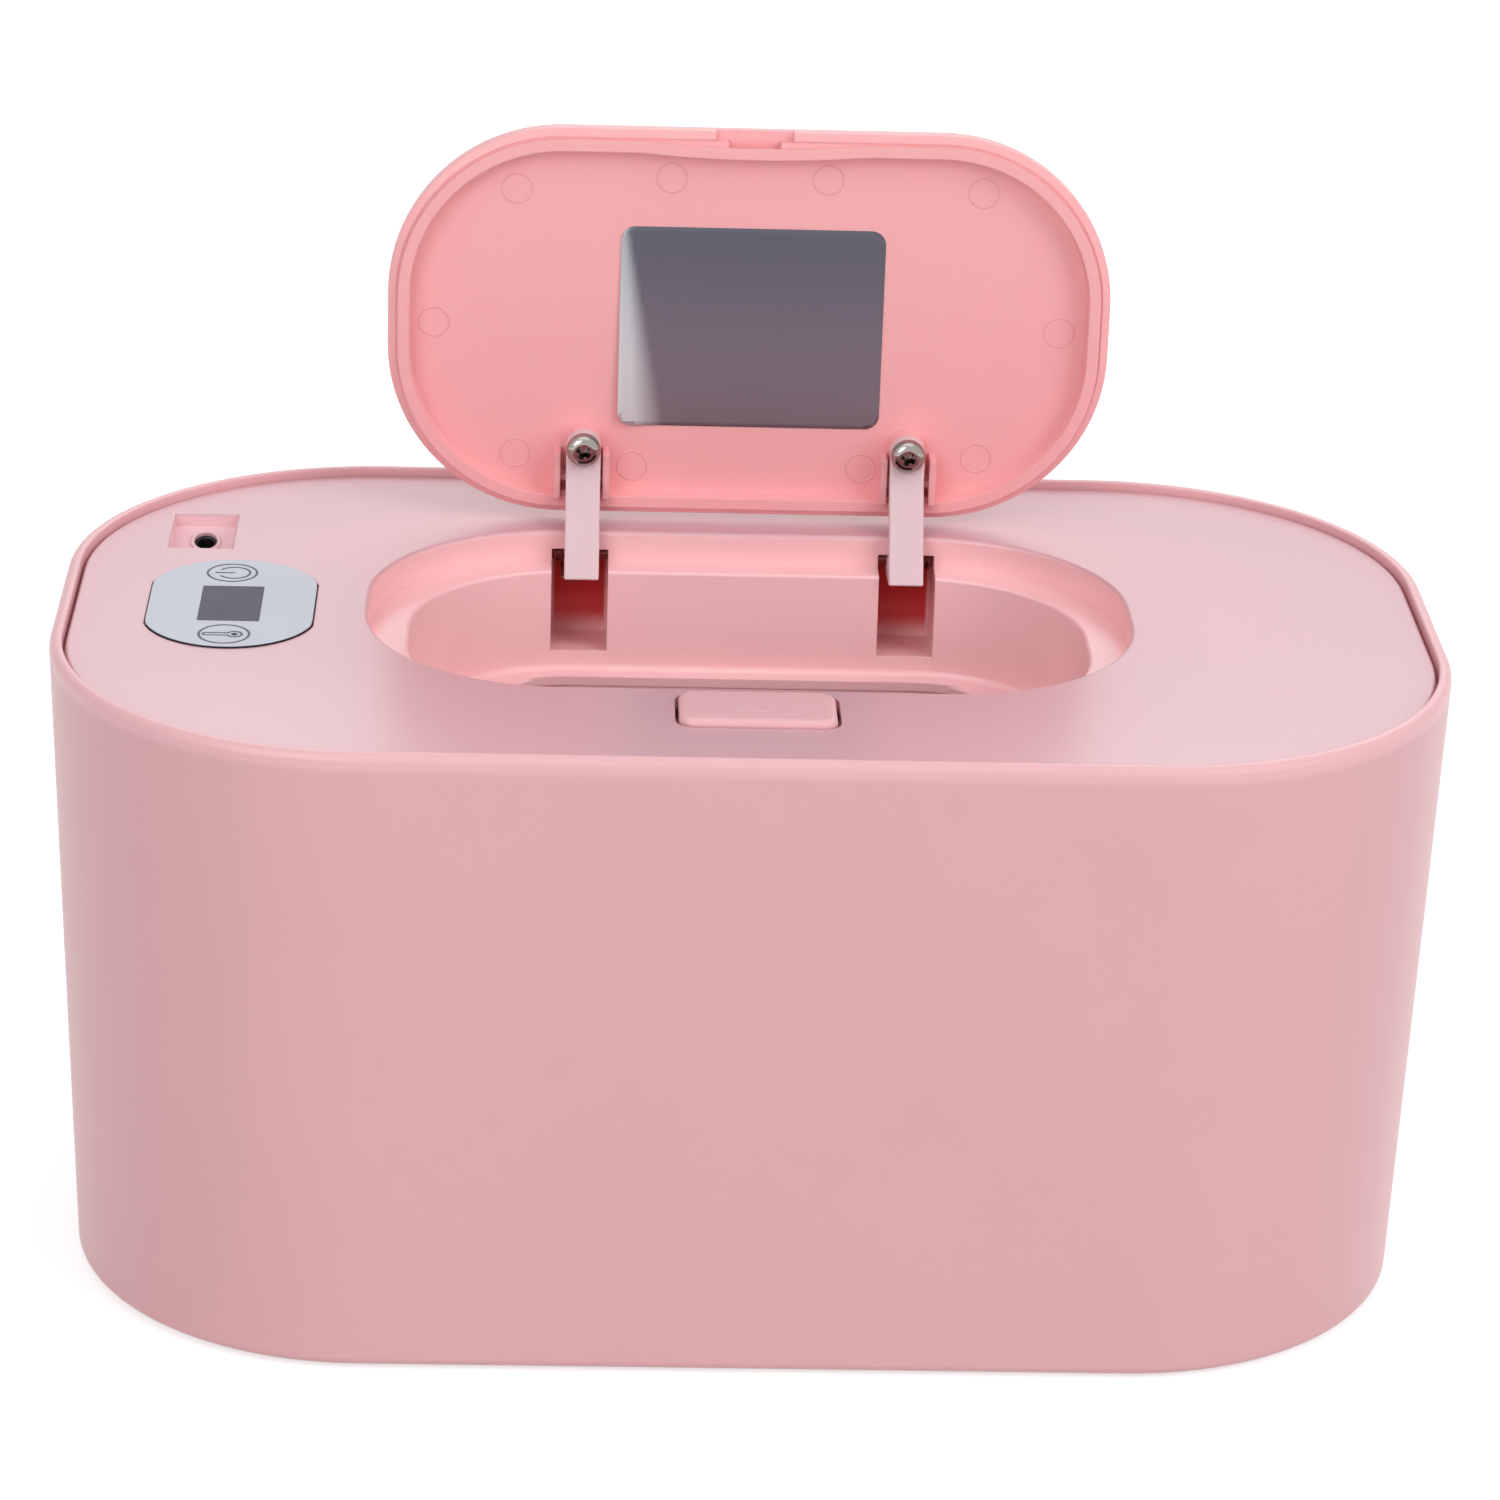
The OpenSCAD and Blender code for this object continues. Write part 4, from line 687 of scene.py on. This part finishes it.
def buildScrews(settings):
    tree = screwTree()
    for name, s in settings.items():
        blank = linked("screwBlank", lathe("screwBlank", screwOutline(s)))
        spots = lineMesh(name + "Spots", [([p], False) for p in s["places"] or screwPlaces(s)])
        screws = grow(name, spots, tree, {
            "Blank": blank, "Recess Span": recessShares["span"] * s["head"],
            "Recess Width": recessShares["width"] * s["head"],
            "Recess Depth": recessShares["depth"] * s["tall"], "Head Height": s["tall"],
            "Facing": inRadians(s["facing"]), "Seed": s["seed"], "Material": s["material"]})
        bpy.data.objects.remove(blank)
        smoothed(screws, 30)
        standIn(screws, [s["node"]])
        print(name + ":", len(spots.vertices), "screws")


buildScrews(screwSettings)


# The round marks that ejector pins leave on the lid's inner face.
markSettings = {"radius": 2.25, "line": 0.3, "proud": 0.06, "face": 40.69,   # mm
                "places": [(-35.1, 145.9), (-12.1, 148.0), (11.2, 148.2), (34.5, 146.6), (-47.3, 124.9),
                           (46.8, 125.1), (-34.9, 104.4), (-17.1, 102.6), (17.7, 102.9), (35.2, 104.9)]}


def markTree():
    tree, given = makeTree("ejectorMarks", Float=["Radius", "Line", "Proud"], Vector=["Facing"])
    ring = addNode(tree, "GeometryNodeCurvePrimitiveCircle", {"mode": "RADIUS", "Resolution": 56},
                   {"Radius": given["Radius"]})
    bead = addNode(tree, "GeometryNodeCurvePrimitiveCircle", {"mode": "RADIUS", "Resolution": 8, "Radius": 1.0})
    half = addNode(tree, "ShaderNodeMath", {"operation": "MULTIPLY", 1: 0.5}, {0: given["Line"]})
    size = addNode(tree, "ShaderNodeCombineXYZ", links={
        0: half.outputs[0], 1: given["Proud"], 2: half.outputs[0]})
    flat = addNode(tree, "GeometryNodeTransform", links={"Geometry": bead.outputs[0], "Scale": size.outputs[0]})
    mark = addNode(tree, "GeometryNodeCurveToMesh", links={
        "Curve": ring.outputs[0], "Profile Curve": flat.outputs[0]})
    each = addNode(tree, "GeometryNodeInstanceOnPoints", links={
        "Points": given["Geometry"], "Instance": mark.outputs[0], "Rotation": given["Facing"]})
    return closeTree(tree, each.outputs[0], given["Material"])


def buildMarks(s):
    spots = lineMesh("markSpots", [([(x, s["face"], z)], False) for x, z in s["places"]])
    marks = grow("ejectorMarks", spots, markTree(), {
        "Radius": s["radius"], "Line": s["line"], "Proud": s["proud"], "Facing": inRadians((90, 0, 0)),
        "Material": ejectorRingPink})
    smoothed(marks, 60)
    addOn(marks, "lid")
    print("ejector marks:", len(s["places"]))


buildMarks(markSettings)


# The control panel is a printed plate with a dark side, a smoked window and two touch signs.
panelSettings = {   # mm; plate and window are their middle and size, angles are in degrees
    "plate": (-75.175, 0.05, 24, 35.2), "under": 1.1,
    "endRadius": 12.4, "endSteps": 40, "cornerRound": 2.4, "edgeRound": 0.22,
    "window": (-75.27, -0.6, 8.93, 14.1), "windowProud": 0.02, "windowRound": 0.25,
    "lineWidth": 0.36, "lineHeight": 0.05, "ring": 3.6, "ringSteps": 72,
    "power": {"middle": (-75.85, 12.0), "shift": 0.3, "radius": 2.3, "opening": 33, "steps": 48,
              "bar": (-2.5, 0.4)},
    "warmth": {"middle": (-75.5, -12.9), "bulb": 1.5, "bulbRadius": 1.05, "steps": 40, "stem": 0.45,
               "tip": -2.8, "point": 0.25, "dots": (0.1, 0.32), "dotSteps": 20},
}


def lineTree():
    tree, given = makeTree("printedLines", Float=["Line Width", "Line Height"])
    path = addNode(tree, "GeometryNodeMeshToCurve", links={"Mesh": given["Geometry"]})
    upright = addNode(tree, "GeometryNodeSetCurveNormal", {"mode": "Z_UP"}, {"Curve": path.outputs[0]})
    stroke = addNode(tree, "GeometryNodeCurvePrimitiveQuadrilateral", {"mode": "RECTANGLE"},
                     {"Width": given["Line Width"], "Height": given["Line Height"]})
    line = addNode(tree, "GeometryNodeCurveToMesh", {"Fill Caps": True},
                   {"Curve": upright.outputs[0], "Profile Curve": stroke.outputs[0]})
    return closeTree(tree, line.outputs[0], given["Material"])


printedLines = lineTree()


def buildPlate(s, top):
    (x, y, w, l), r, n = s["plate"], s["endRadius"], s["endSteps"]
    cut = math.degrees(math.acos(w / 2 / r))   # where each round end meets the straight side
    outline = [p for sign, start in ((1, cut), (-1, 180 + cut))
               for p in arc(x, y + sign * (l / 2 - r), r, start, start + (180 - 2 * cut), n)]
    work = bmesh.new()
    face = work.faces.new([work.verts.new((a * mm, b * mm, (top - s["under"]) * mm)) for a, b in outline])
    work.normal_update()
    if face.normal.z > 0:
        face.normal_flip()
    work.verts.ensure_lookup_table()
    corners = [work.verts[i] for i in (0, n, n + 1, 2 * n + 1)]
    bmesh.ops.bevel(work, geom=corners, offset=s["cornerRound"] * mm, segments=8, profile=0.5,
                    affect="VERTICES")
    raised = bmesh.ops.extrude_face_region(work, geom=work.faces[:])["geom"]
    bmesh.ops.translate(work, verts=[g for g in raised if isinstance(g, bmesh.types.BMVert)],
                        vec=(0, 0, s["under"] * mm))
    bmesh.ops.recalc_face_normals(work, faces=work.faces)
    # the edges round the top
    rim = [e for e in work.edges if all(v.co.z / mm > top - 0.01 for v in e.verts)
           and len(e.link_faces) == 2 and any(f.normal.z < 0.5 for f in e.link_faces)]
    bmesh.ops.bevel(work, geom=rim, offset=s["edgeRound"] * mm, segments=3, profile=0.5, affect="EDGES")
    work.normal_update()
    for face in work.faces:
        face.material_index = 0 if face.normal.z > 0.3 else 1   # the face's print wraps over the rounded rim
    plate = linked("panelPlate", endWork(work, "panelPlate"), panelFace, panelSide)
    smoothed(plate, 40)
    standIn(plate, ["control_panel"])


def buildWindow(s, top):
    x, y, w, l = s["window"]
    work = bmesh.new()
    bmesh.ops.create_cube(work, size=1, matrix=Matrix.Translation((x * mm, y * mm, top * mm))
                          @ Matrix.Diagonal((w * mm, l * mm, 2 * s["windowProud"] * mm, 1)))
    upright = [e for e in work.edges if abs((e.verts[0].co - e.verts[1].co).normalized().z) > 0.9]
    bmesh.ops.bevel(work, geom=upright, offset=s["windowRound"] * mm, segments=4, profile=0.5, affect="EDGES")
    addOn(linked("window", endWork(work, "window"), smokedAcrylic), "deck")


# The signs for power, a circle open at the left with a bar, and for warmth, a thermometer lying down.
def buildSigns(s, top):
    def loop(x, y, radius, steps):
        return arc(x, y, radius, 0, 360, steps)[:-1]

    p, w = s["power"], s["warmth"]
    (px, py), (wx, wy), bulb = p["middle"], w["middle"], w["middle"][0] + w["bulb"]
    half = math.degrees(math.asin(w["stem"] / w["bulbRadius"]))
    tip = [(wx + w["tip"], wy + w["stem"]), (wx + w["tip"] - w["point"], wy), (wx + w["tip"], wy - w["stem"])]
    lines = [(loop(px, py, s["ring"], s["ringSteps"]), True),
             (arc(px + p["shift"], py, p["radius"], 180 + p["opening"], 540 - p["opening"], p["steps"]), False),
             ([(px + p["bar"][0], py), (px + p["bar"][1], py)], False),
             (loop(wx, wy, s["ring"], s["ringSteps"]), True),
             (arc(bulb, wy, w["bulbRadius"], 180 + half, 540 - half, w["steps"]) + tip, True)]
    lines += [(loop(bulb, wy, r, w["dotSteps"]), True) for r in w["dots"]]
    flat = lineMesh("signLines", [([(x, y, top) for x, y in line], closed) for line, closed in lines])
    signs = grow("touchSigns", flat, printedLines, {
        "Line Width": s["lineWidth"], "Line Height": s["lineHeight"], "Material": screenInk})
    addOn(signs, "deck")
    print("panel: plate, window and", len(lines), "printed lines")


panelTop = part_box("control_panel")[1].z / mm
buildPlate(panelSettings, panelTop)
buildWindow(panelSettings, panelTop)
buildSigns(panelSettings, panelTop)


# The socket's black lip sits just inside its hole.
socketSettings = {"place": (-81.375, 34.95, 91.03), "lean": 24.5,   # mm and degrees
                  "radius": 1.74, "bore": 1.3, "chamfer": 0.15, "top": -0.35, "foot": -1.55}   # mm


def buildSocketLip(s):
    top, foot, r, bore, chamfer = (s[k] for k in ("top", "foot", "radius", "bore", "chamfer"))
    outline = [(bore, foot), (r, foot), (r, top), (bore + chamfer, top), (bore, top - chamfer)]
    mesh = lathe("socketLip", outline, closed=True)
    leaning = Matrix.Rotation(math.radians(s["lean"]), 4, "X")
    mesh.transform(Matrix.Translation(Vector(s["place"]) * mm) @ leaning)
    lip = linked("socketLip", mesh, blackPlastic)
    smoothed(lip, 30)
    addOn(lip, "deck")
    print("socket lip made")


buildSocketLip(socketSettings)


# A faint raised triangle marks the button, drawn paler than the button as a painted light.
pushMark = {"middle": (-0.7, -38.5), "width": 4.6, "depth": 3.2, "lineWidth": 0.4, "lineHeight": 0.07}   # mm


def buildPushMark(s):
    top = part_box("push_button")[1].z / mm
    (x, y), w, d = s["middle"], s["width"] / 2, s["depth"] / 2
    triangle = [(x - w, y - d, top), (x + w, y - d, top), (x, y + d, top)]
    mark = grow("pushMark", lineMesh("markLines", [(triangle, True)]), printedLines, {
        "Line Width": s["lineWidth"], "Line Height": s["lineHeight"], "Material": innerPlastic})
    addOn(mark, "button")
    print("button marked")


buildPushMark(pushMark)


# The plain foil label lifts off the lid at its lower left corner, where it carries a painted highlight.
labelSettings = {
    "middle": (0.35, 124.8), "width": 39.6, "height": 31.2, "corner": 2.2, "cornerSteps": 8,   # mm
    "face": 40.69, "gauge": 0.12, "gap": 0.01, "cells": (60, 40),   # mm
    "lift": 0.9, "bandTop": 1.2, "bandLow": 7.0, "rise": 1.5, "curl": 2,   # mm raised and loose, two powers
    # the foil's colours and their fade, and the near-white colour of a painted highlight along the lifted edge
    "foil": "#5F606B", "foilLow": "#8E8691", "fade": (141, 106), "paintedGlintColour": "#E3ECF0",
    "bright": 1.6, "leastBright": 0.35,   # shares of the painted highlight's colour
    "metallic": 0.92, "roughness": 0.4, "sheen": 0.05, "brushed": (14, 1, 0.12), "brushDepth": 0.01,   # mm
}


# Metallised polyester foil: a satin grey mirror with a very fine brushed line, and a painted highlight where it
# lifts off.
def labelFoil(s):
    material, tree, surface, place = newMaterial("metallised foil", **{"Metallic": s["metallic"]})
    height = addNode(tree, "ShaderNodeSeparateXYZ", links={0: place}).outputs[2]
    # The foil is painted lighter towards its bottom, a painted reflection.
    face = addNode(tree, "ShaderNodeMix", {"data_type": "RGBA", 6: colour(s["foil"]), 7: colour(s["foilLow"])},
                   {0: softMask(tree, [(height, s["fade"])])})
    lines = addNode(tree, "ShaderNodeMapping", {"Scale": patternScale(s["brushed"])}, {"Vector": place})
    brushed = addNode(tree, "ShaderNodeTexNoise", {"Scale": 1.0, "Detail": 3.0},
                      {"Vector": lines.outputs[0]}).outputs[0]
    # the painted highlight, as strong as the lift attribute says
    paintedGlint = addNode(tree, "ShaderNodeAttribute", {"attribute_name": "lift"})
    skin = addNode(tree, "ShaderNodeMix", {"data_type": "RGBA", 7: colour(s["paintedGlintColour"])},
                   {0: paintedGlint.outputs["Fac"], 6: face.outputs[2]})
    dress(tree, surface, skin.outputs[2], (brushed, 0.15, s["brushDepth"]),
          (brushed, s["roughness"] - s["sheen"], s["roughness"] + s["sheen"]))
    return material


def buildLabel(s):
    (cx, cz), hw, hh, r = s["middle"], s["width"] / 2, s["height"] / 2, s["corner"]
    outline = []
    for sx, sz, start in ((1, 1, 0), (-1, 1, 90), (-1, -1, 180), (1, -1, 270)):
        outline += arc(cx + sx * (hw - r), cz + sz * (hh - r), r, start, start + 90, s["cornerSteps"])
    work = bmesh.new()
    face = work.faces.new([work.verts.new((x * mm, s["face"] * mm, z * mm)) for x, z in outline])
    if face.normal.y > 0:
        face.normal_flip()
    for axis, middle, half, count in ((0, cx, hw, s["cells"][0]), (2, cz, hh, s["cells"][1])):
        normal = Vector((axis == 0, 0, axis == 2))
        for i in range(1, count):
            at = normal * (middle - half + 2 * half * i / count) * mm
            bmesh.ops.bisect_plane(work, geom=work.verts[:] + work.edges[:] + work.faces[:], plane_co=at,
                                   plane_no=normal)
    work.normal_update()
    # how strongly each point shows the painted highlight: most at the lifted left edge and low down
    bright = work.verts.layers.float.new("lift")
    for v in work.verts:
        across, up = (v.co.x / mm - cx + hw), (v.co.z / mm - cz + hh) / (2 * hh)
        band = s["bandLow"] + (s["bandTop"] - s["bandLow"]) * up
        share = max(0, 1 - across / band)   # 1 at the left edge and 0 where the label sticks
        v.co.y -= (s["gauge"] + s["lift"] * max(0, 1 - up) ** s["rise"] * share ** s["curl"]) * mm
        v[bright] = min(1, s["bright"] * share) * (s["leastBright"] + (1 - s["leastBright"]) * (1 - up))
    label = linked("label", endWork(work, "label"), labelFoil(s))
    sheet = label.modifiers.new("gauge", "SOLIDIFY")
    sheet.thickness, sheet.offset = (s["gauge"] - s["gap"]) * mm, -1
    smoothed(label)
    standIn(label, ["lid_label"])
    print("label:", len(label.data.polygons), "faces")


buildLabel(labelSettings)


# A pale floor without an end, under soft lamps.
studioSettings = {
    "floorSize": 6.0, "floorColour": "#D6D5D5", "floorRoughness": 0.9, "worldStrength": 0.34,   # size in m
    "floorGlow": (0.6, 1.0), "glowReach": (0.25, 0.9),   # near the object and far off, and how far, m
}
lampSettings = {   # place, target and size in metres, power in watts, and whether gloss mirrors the lamp
    "key": ((1.1, -0.85, 0.9), (0, 0, 0.07), (0.85, 1.2), 10.9, False),
    "fill": ((-0.7, -1.15, 0.75), (0, 0, 0.07), (0.9, 0.9), 7.0, True),
    "top": ((0.0, -0.3, 1.3), (0, 0, 0.08), (1.2, 0.8), 2.5, True),
    "back": ((0.2, 1.1, 0.9), (0, 0.04, 0.12), (1.0, 0.5), 4.2, True),
}
white = (1, 1, 1, 1)


def areaLight(name, place, target, size, power, mirrored):
    data = bpy.data.lights.new(name, "AREA")
    data.shape, data.size, data.size_y, data.energy = "RECTANGLE", size[0], size[1], power
    lamp = bpy.data.objects.new(name, data)
    lamp.location, lamp.visible_glossy = place, mirrored
    lamp.rotation_euler = (Vector(target) - Vector(place)).to_track_quat("-Z", "Y").to_euler()
    scene.collection.objects.link(lamp)


# 1 where the camera sees the ray, straight or in a reflection, so that gloss shows the white backdrop too.
def seenRays(tree):
    path = addNode(tree, "ShaderNodeLightPath").outputs
    seen = path["Is Camera Ray"]
    for other in ("Is Glossy Ray", "Is Transmission Ray"):
        seen = addNode(tree, "ShaderNodeMath", {"operation": "MAXIMUM"}, {0: seen, 1: path[other]}).outputs[0]
    return seen


def buildFloor(s):
    half, (near, far), (start, end) = s["floorSize"] / 2, s["floorGlow"], s["glowReach"]
    mesh = bpy.data.meshes.new("floor")
    corners = [(-half, -half, 0), (half, -half, 0), (half, half, 0), (-half, half, 0)]
    mesh.from_pydata(corners, [], [(0, 1, 2, 3)])
    material, tree, surface, place = newMaterial("matt floor", **{
        "Base Color": colour(s["floorColour"]), "Roughness": s["floorRoughness"]})
    reach = addNode(tree, "ShaderNodeVectorMath", {"operation": "LENGTH"}, {0: place})
    rising = addNode(tree, "ShaderNodeMapRange", {
        "From Min": start, "From Max": end, "To Min": near, "To Max": far}, {"Value": reach.outputs["Value"]})
    glow = addNode(tree, "ShaderNodeEmission", {"Color": white}, {"Strength": rising.outputs[0]})
    both = addNode(tree, "ShaderNodeAddShader", links={0: surface.outputs[0], 1: glow.outputs[0]})
    mix = addNode(tree, "ShaderNodeMixShader", links={
        0: seenRays(tree), 1: surface.outputs[0], 2: both.outputs[0]})
    tree.links.new(mix.outputs[0], findNode(tree, "OUTPUT_MATERIAL").inputs["Surface"])
    floor = linked("floor", mesh, material)


def buildWorld(s):
    world = bpy.data.worlds.new("studio")
    scene.world = world
    world.use_nodes = True
    tree = world.node_tree
    tree.nodes.clear()
    soft = addNode(tree, "ShaderNodeBackground", {"Color": white, "Strength": s["worldStrength"]})
    pale = addNode(tree, "ShaderNodeBackground", {"Color": white, "Strength": 1.0})
    mix = addNode(tree, "ShaderNodeMixShader", links={
        0: seenRays(tree), 1: soft.outputs[0], 2: pale.outputs[0]})
    addNode(tree, "ShaderNodeOutputWorld", links={"Surface": mix.outputs[0]})


buildFloor(studioSettings)
buildWorld(studioSettings)
for name, lamp in lampSettings.items():
    areaLight(name, *lamp)
scene.view_settings.view_transform = "Standard"
print("studio built")
